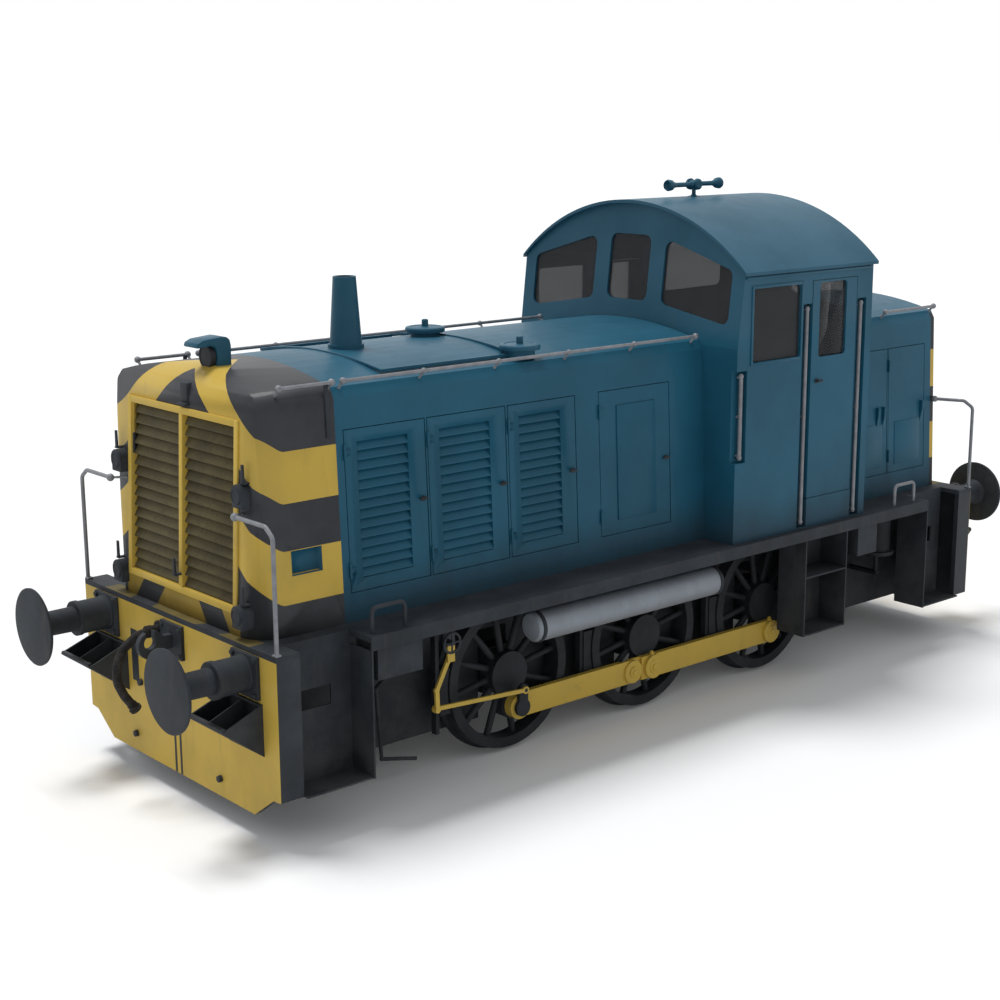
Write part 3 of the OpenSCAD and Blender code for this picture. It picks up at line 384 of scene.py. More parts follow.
def weather_yellow(f, base, x, y, z, strength=1.0):
    """Dust, oil mist and small rust spots on a yellow."""
    clouds = f.noise(2.6, 4, 0.55)
    runs = f.noise(9.0, 5, 0.6, stretch=(1, 1, 8))
    spots = f.noise(38.0, 4, 0.65)
    base = f.blend(clouds.step(0.42, 0.72) * 0.30 * strength, base, colour((0.36, 0.27, 0.085)))
    base = f.blend(runs.step(0.58, 0.82) * 0.26 * strength, base, colour((0.19, 0.145, 0.055)))
    base = f.blend(spots.step(0.70, 0.80) * 0.45 * strength, base, colour((0.13, 0.065, 0.03)))
    return base, clouds, runs, spots


def finish_end_yellow():
    p = paints()
    f = Finish("end_yellow")
    x, y, z = f.axes()
    base, clouds, runs, spots = weather_yellow(f, colour(p.yellow), x, y, z)
    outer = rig.box("buffer_beams")[1].x - 0.0015
    black = f.blend(clouds.step(0.34, 0.70), colour(p.black, 0.80), colour(p.black, 1.35))
    behind = (abs(x) < outer) * (z < FOOTPLATE)
    base = f.blend(behind, base, black)
    rough = 0.50 + (clouds - 0.5) * 0.2 + (spots - 0.5) * 0.1
    return f.done(f.shader(base, rough, 0.0, f.noise(180.0, 3, 0.5), 0.0008, Coat_Weight=0.05))


def finish_grille_slats():
    """Yellow slats gone olive and brown with oil mist and dirt."""
    f = Finish("grille_slats")
    x, y, z = f.axes()
    clouds = f.noise(3.0, 4, 0.6)
    soot = f.noise(26.0, 4, 0.6, stretch=(1, 0.5, 1))
    base = f.blend(clouds.step(0.30, 0.70), colour((0.070, 0.058, 0.030)), colour((0.112, 0.092, 0.042)))
    base = f.blend(soot.step(0.52, 0.76) * 0.6, base, colour((0.035, 0.028, 0.018)))
    return f.done(f.shader(base, 0.62 + (soot - 0.5) * 0.2, 0.0, soot, 0.0008))


def finish_rod_yellow():
    p = paints()
    f = Finish("rod_yellow")
    x, y, z = f.axes()
    base, clouds, runs, spots = weather_yellow(f, colour(p.yellow, 1.06), x, y, z, 0.7)
    oil = f.noise(6.0, 4, 0.6, stretch=(2.5, 1, 1)).step(0.58, 0.78)
    base = f.blend(oil * 0.45, base, colour((0.10, 0.07, 0.03)))
    base = f.blend(z > LEVER_HEAD, base, colour(p.black))
    rough = 0.46 - oil * 0.18 + (clouds - 0.5) * 0.12
    return f.done(f.shader(base, rough, 0.0, f.noise(140.0, 3, 0.5), 0.0006, Coat_Weight=0.1))


def finish_frame_black():
    p = paints()
    f = Finish("frame_black")
    x, y, z = f.axes()
    clouds = f.noise(3.2, 5, 0.6)
    runs = f.noise(11.0, 5, 0.6, stretch=(1, 1, 7))
    grit = f.noise(75.0, 4, 0.65)
    base = f.blend(clouds.step(0.34, 0.70), colour(p.black, 0.80), colour(p.black, 1.35))
    base = f.blend(runs.step(0.56, 0.80) * 0.40, base, colour((0.085, 0.075, 0.062)))
    base = f.blend(grit.step(0.64, 0.74) * 0.30, base, colour((0.075, 0.050, 0.035)))
    dust = road_dirt(f, 0.25, 1.15, 0.5) * clouds.step(0.35, 0.62)
    base = f.blend(dust * 0.35, base, colour((0.080, 0.075, 0.070)))
    rough = 0.62 + (clouds - 0.5) * 0.25
    return f.done(f.shader(base, rough, 0.0, f.noise(60.0, 5, 0.6), 0.0015))


def finish_footplate_black():
    """Dark footplate whose front and rear strips carry the worn end stripes."""
    p = paints()
    f = Finish("footplate_black")
    x, y, z = f.axes()
    clouds = f.noise(3.2, 5, 0.6)
    runs = f.noise(11.0, 5, 0.6, stretch=(1, 1, 7))
    grit = f.noise(75.0, 4, 0.65)
    base = f.blend(clouds.step(0.34, 0.70), colour(p.black, 0.80), colour(p.black, 1.35))
    base = f.blend(runs.step(0.56, 0.80) * 0.35, base, colour((0.085, 0.075, 0.062)))
    base = f.blend(grit.step(0.64, 0.74) * 0.30, base, colour((0.075, 0.050, 0.035)))
    strip = (abs(x) > 3.40) * (abs(y) < 0.90) * (z > 1.2305)
    shift = abs(y) + (abs(x) - 3.45) * 0.5
    patch = (shift > 0.30) * (shift < 0.58)
    worn = clouds.step(0.30, 0.62)
    olive = f.blend(worn, colour((0.10, 0.080, 0.030)), colour((0.17, 0.130, 0.040)))
    base = f.blend(strip * (1 - patch) * 0.9, base, olive)
    rough = 0.62 + (clouds - 0.5) * 0.25
    return f.done(f.shader(base, rough, 0.0, f.noise(60.0, 5, 0.6), 0.0015))


def finish_running_steel():
    p = paints()
    f = Finish("running_steel")
    x, y, z = f.axes()
    clouds = f.noise(5.0, 5, 0.6)
    grit = f.noise(95.0, 4, 0.65)
    base = f.blend(clouds.step(0.34, 0.68), colour(p.steel, 0.85), colour(p.steel, 1.4))
    base = f.blend(grit.step(0.58, 0.74) * 0.35, base, colour((0.085, 0.060, 0.045)))
    rough = 0.60 + (clouds - 0.5) * 0.3
    return f.done(f.shader(base, rough, 0.25, f.noise(70.0, 5, 0.6), 0.0015))


def finish_rail_paint():
    p = paints()
    f = Finish("rail_paint")
    clouds = f.noise(14.0, 4, 0.6)
    wear = f.noise(42.0, 3, 0.6)
    base = f.blend(clouds.step(0.35, 0.7), colour(p.rail, 0.86), colour(p.rail, 1.12))
    base = f.blend(wear.step(0.66, 0.76) * 0.5, base, colour((0.12, 0.09, 0.07)))
    return f.done(f.shader(base, 0.42 + (wear - 0.5) * 0.2, 0.15, wear, 0.0004))


def finish_tank_paint():
    p = paints()
    f = Finish("tank_paint")
    x, y, z = f.axes()
    clouds = f.noise(3.5, 5, 0.6)
    runs = f.noise(10.0, 5, 0.6, stretch=(1, 1, 5))
    base = f.blend(clouds.step(0.35, 0.7), colour(p.tank, 0.88), colour(p.tank, 1.05))
    base = f.blend(runs.step(0.55, 0.8) * 0.35, base, colour((0.15, 0.135, 0.12)))
    base = f.blend((1 - z.step(0.86, 0.98)) * 0.45, base, colour((0.12, 0.11, 0.10)))
    return f.done(f.shader(base, 0.45 + (clouds - 0.5) * 0.2, 0.05, f.noise(120.0, 3, 0.5), 0.0006))


def finish_hose_rubber():
    f = Finish("hose_rubber")
    clouds = f.noise(20.0, 4, 0.6)
    base = f.blend(clouds.step(0.4, 0.7), colour((0.018, 0.017, 0.017)), colour((0.045, 0.041, 0.038)))
    return f.done(f.shader(base, 0.72, 0.0, f.noise(160.0, 3, 0.5), 0.0006))


def finish_cab_trim():
    f = Finish("cab_trim")
    clouds = f.noise(6.0, 4, 0.6)
    base = f.blend(clouds.step(0.4, 0.7), colour((0.100, 0.100, 0.092)), colour((0.150, 0.148, 0.138)))
    return f.done(f.shader(base, 0.6 + (clouds - 0.5) * 0.2, 0.0, f.noise(90.0, 3, 0.5), 0.0006))


def finish_window_glass():
    f = Finish("window_glass")
    film = f.noise(5.0, 4, 0.6)
    base = f.blend(film.step(0.35, 0.7), colour((0.042, 0.045, 0.050)), colour((0.054, 0.057, 0.063)))
    shine = f.shader(base, 0.08 + film * 0.08, 0.0, Alpha=0.54)
    return f.done(shine)


def finish_nose_stripes():
    """Yellow radiator casing with slanting dark bands over its face and shoulders."""
    p = paints()
    f = Finish("nose_stripes")
    x, y, z = f.axes()
    low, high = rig.box("radiator_casing")
    corner = 0.210
    corner_x = high.x - corner - (z - low.z) * math.tan(NOSE_LEAN)
    corner_y = high.y - corner - (z - low.z) * math.tan(BODYSIDE_LEAN)
    half = abs(y)
    crown_x, crown_z = 3.173, 2.628
    over = (z > crown_z)
    ahead = (x - crown_x).most(0.0)
    roll_up = crown_z + (z - crown_z).angle(ahead) * 0.200 + (crown_x - x).most(0.0)
    up = z + over * (roll_up - z)
    round_corner = (x - corner_x).most(0.0).angle((half - corner_y).most(0.0001)) * corner
    flat = 0.330 + corner_y - half
    inside = half < corner_y
    along = round_corner + inside * (flat - round_corner)
    along = (along * along + 0.0025) ** 0.5 - 0.05
    s = up - along * 0.88
    band = 1 - (s > 1.430) + (s > 1.765) - (s > 2.057) + (s > 2.376)
    base, clouds, runs, spots = weather_yellow(f, colour(p.yellow), x, y, z)
    black = f.blend(clouds.step(0.35, 0.7), colour((0.034, 0.036, 0.042)), colour((0.052, 0.054, 0.060)))
    base = f.blend(band, base, black)
    low_face = (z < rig.box("radiator_grille")[0].z + 0.004) * (x > corner_x) * (half < 0.70)
    kink = half - 0.072 - (z - FOOTPLATE).most(0.0) * -0.75
    patch = (kink > 0.236) * (kink < 0.512)
    base = f.blend(low_face * (1 - patch), base, colour(p.yellow, 0.62))
    base = f.blend(low_face * patch, base, black)
    up_skin = z - FOOTPLATE
    skin = SIDE_Y - up_skin * math.tan(BODYSIDE_LEAN)
    foothold = (x > 2.940) * (x < 3.172) * (up_skin > 0.371) * (up_skin < 0.532) * (half < skin - 0.003)
    base = f.blend(foothold, base, colour(p.blue))
    dirt = road_dirt(f, FOOTPLATE - 0.1, FOOTPLATE + 0.22)
    base = f.blend(dirt * 0.40, base, colour((0.040, 0.040, 0.040)))
    rough = 0.46 + (clouds - 0.5) * 0.2 + dirt * 0.2
    return f.done(f.shader(base, rough, 0.0, f.noise(180.0, 3, 0.5), 0.0008, Coat_Weight=0.08))


# ---------------------------------------------------------------- modelling, as by hand

def deselect():
    if bpy.context.object is not None and bpy.context.object.mode != "OBJECT":
        bpy.ops.object.mode_set(mode="OBJECT")
    bpy.ops.object.select_all(action="DESELECT")


def pick(piece):
    deselect()
    piece.select_set(True)
    bpy.context.view_layer.objects.active = piece
    return piece


def edit(piece, mode="FACE"):
    pick(piece)
    bpy.ops.object.mode_set(mode="EDIT")
    bpy.ops.mesh.select_mode(type=mode)


def done(piece):
    """Leaves edit mode with every face turned outwards."""
    bpy.ops.mesh.select_all(action="SELECT")
    bpy.ops.mesh.normals_make_consistent(inside=False)
    bpy.ops.object.mode_set(mode="OBJECT")
    return piece


def settle(piece):
    """Puts the piece's place into its mesh."""
    pick(piece)
    bpy.ops.object.transform_apply(location=True, rotation=True, scale=True)
    return piece


def block(low, high, edge=0.003, segments=2):
    """A block between two corners with softened edges."""
    low, high = Vector(low), Vector(high)
    deselect()
    bpy.ops.mesh.primitive_cube_add(size=1, location=(low + high) / 2)
    piece = bpy.context.object
    piece.scale = high - low
    settle(piece)
    if edge:
        edit(piece, "EDGE")
        bpy.ops.mesh.select_all(action="SELECT")
        bpy.ops.mesh.bevel(offset=edge, segments=segments, affect="EDGES")
        done(piece)
    return piece


def disc(at, along, radius, sides):
    deselect()
    bpy.ops.mesh.primitive_circle_add(
        vertices=sides, radius=radius, fill_type="NGON", location=at,
        rotation=along.to_track_quat("Z", "Y").to_euler())
    return bpy.context.object


def turned(start, along, profile, sides=32):
    """A turned piece: profile is a list of (distance along, radius)."""
    start, along = Vector(start), Vector(along).normalized()
    piece = disc(start + along * profile[0][0], along, profile[0][1], sides)
    edit(piece)
    bpy.ops.mesh.select_all(action="SELECT")
    for (at, radius), (next_at, next_radius) in zip(profile, profile[1:]):
        bpy.ops.mesh.extrude_region_move(
            TRANSFORM_OT_translate={"value": along * (next_at - at)})
        if abs(next_radius - radius) > 1e-7:
            k = next_radius / radius
            bpy.ops.transform.resize(value=(k, k, k), center_override=start + along * next_at)
    return settle(done(piece))


def bar(start, end, radius, sides=16):
    start, end = Vector(start), Vector(end)
    length = (end - start).length
    soft = min(radius * 0.2, length * 0.2)
    return turned(start, end - start, [
        (0, radius - soft), (soft, radius), (length - soft, radius), (length, radius - soft)], sides)


def ball(at, radius, rings=10):
    deselect()
    bpy.ops.mesh.primitive_uv_sphere_add(
        segments=rings * 2, ring_count=rings, radius=radius, location=at)
    return settle(bpy.context.object)


def pipe(points, radius, bend, sides=14, steps=6):
    """A tube along straight runs with a round bend at each corner."""
    points = [Vector(p) for p in points]
    heading = (points[1] - points[0]).normalized()
    piece = disc(points[0], heading, radius, sides)
    edit(piece)
    bpy.ops.mesh.select_all(action="SELECT")
    here = points[0]
    for corner, after in zip(points[1:], points[2:] + [None]):
        if after is None:
            bpy.ops.mesh.extrude_region_move(TRANSFORM_OT_translate={"value": corner - here})
            break
        onward = (after - corner).normalized()
        angle = heading.angle(onward)
        cut = bend * math.tan(angle / 2)
        arc_start = corner - heading * cut
        bpy.ops.mesh.extrude_region_move(TRANSFORM_OT_translate={"value": arc_start - here})
        axis = heading.cross(onward).normalized()
        centre = arc_start + axis.cross(heading).normalized() * bend
        # with no window, spin turns the other way
        bpy.ops.mesh.spin(steps=steps, angle=-angle, center=centre, axis=axis)
        here = corner + onward * cut
        heading = onward
    return settle(done(piece))


def outline(corners, along, depth, edge=0.0):
    """A plate cut to an outline and pushed out by depth along an axis."""
    corners = [Vector(c) for c in corners]
    deselect()
    bpy.ops.mesh.primitive_circle_add(vertices=len(corners), radius=1, fill_type="NGON")
    piece = bpy.context.object
    for vertex, corner in zip(piece.data.vertices, corners):
        vertex.co = corner
    piece.data.update()
    edit(piece)
    bpy.ops.mesh.select_all(action="SELECT")
    bpy.ops.mesh.extrude_region_move(TRANSFORM_OT_translate={"value": Vector(along) * depth})
    done(piece)
    if edge:
        soften(piece, edge)
    return settle(piece)


def soften(piece, edge, segments=2, angle=30):
    """Rounds the sharp edges with an applied bevel."""
    pick(piece)
    modifier = piece.modifiers.new("soften", "BEVEL")
    modifier.width, modifier.segments = edge, segments
    modifier.limit_method, modifier.angle_limit = "ANGLE", math.radians(angle)
    bpy.ops.object.modifier_apply(modifier=modifier.name)
    return piece


def cut(piece, cutter):
    """Takes the cutter's shape out of the piece."""
    pick(piece)
    modifier = piece.modifiers.new("cut", "BOOLEAN")
    modifier.operation, modifier.object, modifier.solver = "DIFFERENCE", cutter, "EXACT"
    bpy.ops.object.modifier_apply(modifier=modifier.name)
    bpy.data.objects.remove(cutter)
    return piece


def repeat(piece, count, step):
    """Copies in a row, as part of the same piece."""
    pick(piece)
    modifier = piece.modifiers.new("row", "ARRAY")
    modifier.use_relative_offset = False
    modifier.use_constant_offset = True
    modifier.constant_offset_displace, modifier.count = step, count
    bpy.ops.object.modifier_apply(modifier=modifier.name)
    return piece


def copy(piece, move=(0, 0, 0), mirror=None):
    """A copy with its own mesh, moved, or mirrored across an axis."""
    pick(piece)
    bpy.ops.object.duplicate(linked=False)
    made = bpy.context.object
    if mirror is not None:
        made.scale[mirror] = -1
    made.location = move
    settle(made)
    if mirror is not None:
        edit(made)
        done(made)
    return made


def join(pieces):
    deselect()
    for piece in pieces:
        piece.select_set(True)
    bpy.context.view_layer.objects.active = pieces[0]
    bpy.ops.object.join()
    return bpy.context.object


def both_sides(pieces):
    whole = join(pieces) if isinstance(pieces, list) else pieces
    return join([whole, copy(whole, mirror=1)])


def place(piece, matrix):
    piece.matrix_world = matrix
    return settle(piece)


def from_node(name):
    """A merged copy of a CAD node's mesh, to be worked on."""
    piece = bpy.data.objects.new(name + "_piece", NODES[name].data.copy())
    bpy.context.scene.collection.objects.link(piece)
    piece.data.materials.clear()
    edit(piece, "VERT")
    bpy.ops.mesh.select_all(action="SELECT")
    bpy.ops.mesh.remove_doubles(threshold=0.00002)
    bpy.ops.object.mode_set(mode="OBJECT")
    return piece


def hand_over(piece, name, body, paint, slot, stands_for=(), smooth=32):
    """Names and finishes a piece and seats it on its body."""
    pick(piece)
    bpy.ops.object.shade_smooth_by_angle(angle=math.radians(smooth))
    piece.name = piece.data.name = name
    piece.data.materials.clear()
    piece.data.materials.append(finish(paint))
    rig.ride(piece, body)
    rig.slot(piece, slot)
    if stands_for:
        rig.replaces(piece, *stands_for)
    return piece


# left body side: x along the locomotive, y outwards from the leaning skin, z up it
LEFT_SIDE = Matrix.Translation((0, SIDE_Y, FOOTPLATE)) @ Matrix.Rotation(BODYSIDE_LEAN, 4, "X")


# ---------------------------------------------------------------- doors

class DoorSettings(bpy.types.PropertyGroup):
    """Louvres and handles of the bonnet doors."""
    louvres: bpy.props.IntProperty(
        name="Louvres", description="Number of louvres in each door", default=14, min=2, max=30)
    field_front: bpy.props.FloatProperty(
        name="Front margin", description="From the door's front edge to the louvre field",
        unit="LENGTH", default=0.094, min=0.03, max=0.3)
    field_back: bpy.props.FloatProperty(
        name="Rear margin", description="From the door's rear edge to the louvre field",
        unit="LENGTH", default=0.138, min=0.03, max=0.3)
    field_low: bpy.props.FloatProperty(
        name="Sill margin", description="From the door's foot to the louvre field",
        unit="LENGTH", default=0.080, min=0.03, max=0.3)
    depth: bpy.props.FloatProperty(
        name="Field depth", description="How deep the louvre field is let into the door",
        unit="LENGTH", default=0.030, min=0.01, max=0.036)


DOOR_SILL, DOOR_HEIGHT = 0.190, 1.032


def door_span(name):
    """Rear edge and front edge of a door's panel, without its hinge."""
    low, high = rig.box(name)
    return low.x, high.x - 0.0115


def handle(x, z):
    """A lock with a short turning handle on the side skin, inside its door's edge."""
    boss = turned((x, 0, z), (0, 1, 0), [(-0.001, 0.017), (0.006, 0.017), (0.009, 0.013)], 20)
    grip = block((x - 0.030, 0.008, z - 0.008), (x + 0.034, 0.021, z + 0.008), 0.003)
    return [boss, grip]


class LOCO_OT_louvred_doors(bpy.types.Operator):
    """Cuts the louvre fields into six bonnet doors and fills them with slats"""
    bl_idname = "loco.louvred_doors"
    bl_label = "Louvred doors"

    def execute(self, context):
        s = context.scene.loco_doors
        for index in (1, 2, 3):
            name = f"bonnet_door_left_{index}"
            rear, front = door_span(name)
            low_x, high_x = rear + s.field_back, front - s.field_front
            low_z = DOOR_SILL + s.field_low
            high_z = DOOR_SILL + DOOR_HEIGHT - s.field_low
            leaf = from_node(name)
            cutter = place(block((low_x, -s.depth, low_z), (high_x, 0.05, high_z), 0), LEFT_SIDE)
            cut(leaf, cutter)
            pitch = (high_z - low_z) / s.louvres
            lip = outline([
                (low_x, -s.depth, low_z + pitch * 0.98), (low_x, -0.0015, low_z + pitch * 0.20),
                (low_x, -0.0015, low_z + pitch * 0.08), (low_x, -0.006, low_z + pitch * 0.08),
                (low_x, -s.depth, low_z + pitch * 0.80)], (1, 0, 0), high_x - low_x)
            slats = place(repeat(lip, s.louvres, (0, 0, pitch)), LEFT_SIDE)
            lock = place(join(handle(rear + 0.034, DOOR_SILL + DOOR_HEIGHT * 0.5)), LEFT_SIDE)
            door = join([leaf, slats])
            doors, locks = (door, copy(door, mirror=1)), (lock, copy(lock, mirror=1))
            for side, leaf, lock in zip(("left", "right"), doors, locks):
                node = f"bonnet_door_{side}_{index}"
                hand_over(leaf, f"louvred_door_{side}_{index}", node, "body_blue", "blue_paint", [node])
                hand_over(lock, f"door_lock_{side}_{index}", node, "frame_black", "black_paint")
        return {"FINISHED"}


class LOCO_OT_plain_doors(bpy.types.Operator):
    """Adds the pressed panels, locks and pulls of the unlouvred doors"""
    bl_idname = "loco.plain_doors"
    bl_label = "Plain doors"

    def execute(self, context):
        rear, front = door_span("bonnet_door_left_4")
        panel = block((rear + 0.150, -0.002, DOOR_SILL + 0.095),
                      (front - 0.165, 0.009, DOOR_SILL + DOOR_HEIGHT - 0.110), 0.004)
        lock = join(handle(rear + 0.040, DOOR_SILL + DOOR_HEIGHT * 0.47))
        pieces = [("bonnet_door_{}_4", "panel_{}_4", "body_blue", "blue_paint", panel),
                  ("bonnet_door_{}_4", "door_lock_{}_4", "frame_black", "black_paint", lock)]
        for index in (1, 2):
            rear, front = door_span(f"rear_door_left_{index}")
            places = (rear + 0.035, rear + 0.115) if index == 1 else (rear + 0.030,)
            pulls = [outline([
                (x, 0.0, 0.75), (x, 0.030, 0.75), (x, 0.026, 0.68), (x, 0.0, 0.57)],
                (1, 0, 0), 0.026, 0.003) for x in places]
            seam = block((rear + 0.060, -0.002, DOOR_SILL + 0.060),
                         (front - 0.080, 0.005, DOOR_SILL + 0.420), 0.003)
            pieces.append((f"rear_door_{{}}_{index}", f"rear_panel_{{}}_{index}", "body_blue",
                           "blue_paint", join(pulls + [seam])))
        for node, name, paint, slot, piece in pieces:
            place(piece, LEFT_SIDE)
            other = copy(piece, mirror=1)
            for side, made in (("left", piece), ("right", other)):
                hand_over(made, name.format(side), node.format(side), paint, slot)
        return {"FINISHED"}


# ---------------------------------------------------------------- nose

def lean_back(piece):
    """Leans an upright piece back with the radiator face."""
    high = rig.box("radiator_casing")[1]
    turn = (Matrix.Translation((high.x, 0, FOOTPLATE)) @ Matrix.Rotation(-NOSE_LEAN, 4, "Y")
            @ Matrix.Translation((-high.x, 0, -FOOTPLATE)))
    return place(piece, turn)


def lamp_iron(x, y, z, reach=0.07, tall=0.10):
    """A bent bracket with an upright spike."""
    arm = block((x - 0.01, y - 0.018, z - 0.006), (x + reach, y + 0.018, z + 0.006), 0.002)
    spike = outline([
        (x + reach - 0.014, y - 0.014, z), (x + reach - 0.014, y + 0.014, z),
        (x + reach - 0.014, y + 0.011, z + tall), (x + reach - 0.014, y - 0.011, z + tall)],
        (1, 0, 0), 0.012, 0.002)
    return join([arm, spike])


class LOCO_OT_nose(bpy.types.Operator):
    """Rebuilds the radiator grille with broad slats and smooths the casing"""
    bl_idname = "loco.nose"
    bl_label = "Nose"

    def execute(self, context):
        low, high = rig.box("radiator_grille")
        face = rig.box("radiator_casing")[1].x + 0.012
        rim, deep, count = 0.045, 0.066, 16
        half = high.y + 0.010
        top, foot = high.z + 0.008, low.z - 0.008
        frame = [
            block((face - deep, -half, foot), (face, -half + rim, top), 0.003),
            block((face - deep, half - rim, foot), (face, half, top), 0.003),
            block((face - deep, -half + rim * 0.5, foot), (face - 0.001, half - rim * 0.5, foot + rim), 0.003),
            block((face - deep, -half + rim * 0.5, top - rim), (face - 0.001, half - rim * 0.5, top), 0.003),
            block((face - deep, -0.021, foot + rim * 0.5), (face - 0.002, 0.021, top - rim * 0.5), 0.003)]
        hand_over(lean_back(join(frame)), "grille_frame", "locomotive", "end_yellow", "yellow_paint",
                  ["radiator_grille"])
        pitch = (top - foot - 2 * rim) / count
        z = foot + rim
        slat = outline([
            (face - 0.024, -half + rim * 0.5, z + pitch * 0.06), (face - 0.024, -half + rim * 0.5, z + pitch * 0.20),
            (face - 0.056, -half + rim * 0.5, z + pitch * 1.10), (face - 0.062, -half + rim * 0.5, z + pitch * 1.10),
            (face - 0.034, -half + rim * 0.5, z + pitch * 0.06)], (0, 1, 0), 2 * half - rim, 0.001)
        slats = repeat(slat, count, (0, 0, pitch))
        hand_over(lean_back(slats), "grille_slats", "locomotive", "grille_slats", "grille_paint")
        hand_over(from_node("radiator_casing"), "casing_shell", "locomotive", "nose_stripes", "yellow_paint",
                  ["radiator_casing"], 42)
        skin = place(block((2.838, -0.004, 1.190), (2.866, 0.010, 1.530), 0.003), LEFT_SIDE)
        hand_over(both_sides([skin]), "casing_straps", "locomotive", "frame_black", "black_paint")
        return {"FINISHED"}


class LOCO_OT_cab_doors(bpy.types.Operator):
    """Parts the glass of the cab doors from their leaves"""
    bl_idname = "loco.cab_doors"
    bl_label = "Cab doors"

    def execute(self, context):
        for side in ("left", "right"):
            node = f"cab_door_{side}"
            edit(from_node(node))
            bpy.ops.mesh.separate(type="LOOSE")
            bpy.ops.object.mode_set(mode="OBJECT")
            loose = list(context.selected_objects)
            glass, leaf = [], []
            for piece in loose:
                corners = [Vector(v.co) for v in piece.data.vertices]
                low_z = min(v.z for v in corners)
                high_z = max(v.z for v in corners)
                (glass if 2.40 < low_z and high_z < 3.20 and high_z - low_z > 0.3 else leaf).append(piece)
            if not glass or not leaf:
                self.report({"ERROR"}, "the cab door has no pane of its own")
                return {"CANCELLED"}
            hand_over(join(leaf), f"cab_leaf_{side}", node, "cab_shell", "blue_paint", [node])
            hand_over(join(glass), f"cab_pane_{side}", node, "window_glass", "window_glass")
        return {"FINISHED"}


class LOCO_OT_lamps(bpy.types.Operator):
    """Adds the headlamp, the marker lamps and the lamp irons"""
    bl_idname = "loco.lamps"
    bl_label = "Lamps"

    def execute(self, context):
        low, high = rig.box("lamps")
        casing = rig.box("radiator_casing")[1]
        y, half, top, front = 0.070, 0.080, high.z, 3.190
        cowl = outline([
            (3.092, y - half, 2.700), (3.088, y - half, top - 0.060), (3.096, y - half, top - 0.022),
            (3.118, y - half, top - 0.004), (3.150, y - half, top), (3.290, y - half, top - 0.012),
            (3.330, y - half, top - 0.030), (3.338, y - half, top - 0.052), (3.330, y - half, top - 0.060),
            (3.230, y - half, top - 0.052), (3.196, y - half, top - 0.066), (front, y - half, top - 0.100),
            (front, y - half, 2.700)], (0, 1, 0), half * 2, 0.016)
        hand_over(cowl, "headlamp_cowl", "locomotive", "body_blue", "blue_paint", ["lamps"])
        lamp = turned((front - 0.005, y, top - 0.125), (1, 0, 0), [
            (0, 0.060), (0.015, 0.074), (0.040, 0.076), (0.048, 0.076), (0.050, 0.070),
            (0.044, 0.066), (0.046, 0.030), (0.048, 0.004)], 40)
        dark = [lamp]
        for z0 in (2.050, 1.300):
            face = casing.x - (z0 - FOOTPLATE) * math.tan(BODYSIDE_LEAN)
            case = block((face - 0.20, 0.745 - 0.060, z0), (face + 0.052, 0.745 + 0.060, z0 + 0.090), 0.008)
            crown = turned((face - 0.20, 0.745, z0 + 0.090), (1, 0, 0), [
                (0, 0.060), (0.252, 0.060), (0.258, 0.054)], 32)
            bezel = turned((face + 0.045, 0.745, z0 + 0.078), (1, 0, 0), [
                (0, 0.050), (0.014, 0.050), (0.017, 0.046), (0.012, 0.042), (0.013, 0.003)], 32)
            iron = lamp_iron(face - 0.02, 0.745 + 0.030, z0 + 0.156, 0.05, 0.115)
            dark += [both_sides([case, crown, bezel, iron])]
        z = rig.box("radiator_grille")[0].z + 0.12
        face = casing.x - (z - FOOTPLATE) * math.tan(NOSE_LEAN)
        dark.append(lamp_iron(face - 0.05, 0.0, z, 0.11, 0.11))
        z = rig.box("radiator_grille")[1].z + 0.035
        face = casing.x - (z - FOOTPLATE) * math.tan(NOSE_LEAN)
        dark.append(block((face - 0.07, 0.005, z), (face + 0.010, 0.085, z + 0.130), 0.004))
        dark.append(block((face - 0.05, -0.005, z - 0.012), (face + 0.035, 0.095, z + 0.004), 0.003))
        hand_over(join(dark), "lamp_cases", "locomotive", "frame_black", "black_paint", [])
        return {"FINISHED"}


# ---------------------------------------------------------------- rails

class RailSettings(bpy.types.PropertyGroup):
    """Handrails."""
    radius: bpy.props.FloatProperty(
        name="Rail radius", description="Radius of the bonnet rails",
        unit="LENGTH", default=0.012, min=0.008, max=0.02)
    post_radius: bpy.props.FloatProperty(
        name="Post radius", description="Radius of the corner posts and grab loops",
        unit="LENGTH", default=0.014, min=0.008, max=0.02)
    ball_radius: bpy.props.FloatProperty(
        name="Ball radius", description="Radius of the balls at rail ends",
        unit="LENGTH", default=0.023, min=0.01, max=0.04)


def top_rail(s, low_x, high_x, stalks):
    y, z = 0.850, 2.762
    parts = [bar((low_x, y, z), (high_x, y, z), s.radius)]
    for i in range(stalks):
        x = low_x + (high_x - low_x) * i / (stalks - 1)
        end = i in (0, stalks - 1)
        parts.append(ball((x, y, z), s.ball_radius if end else s.ball_radius * 0.86))
        parts.append(bar((x, y, z), (x, y - 0.066, z - 0.066), 0.009, 12))
    return parts


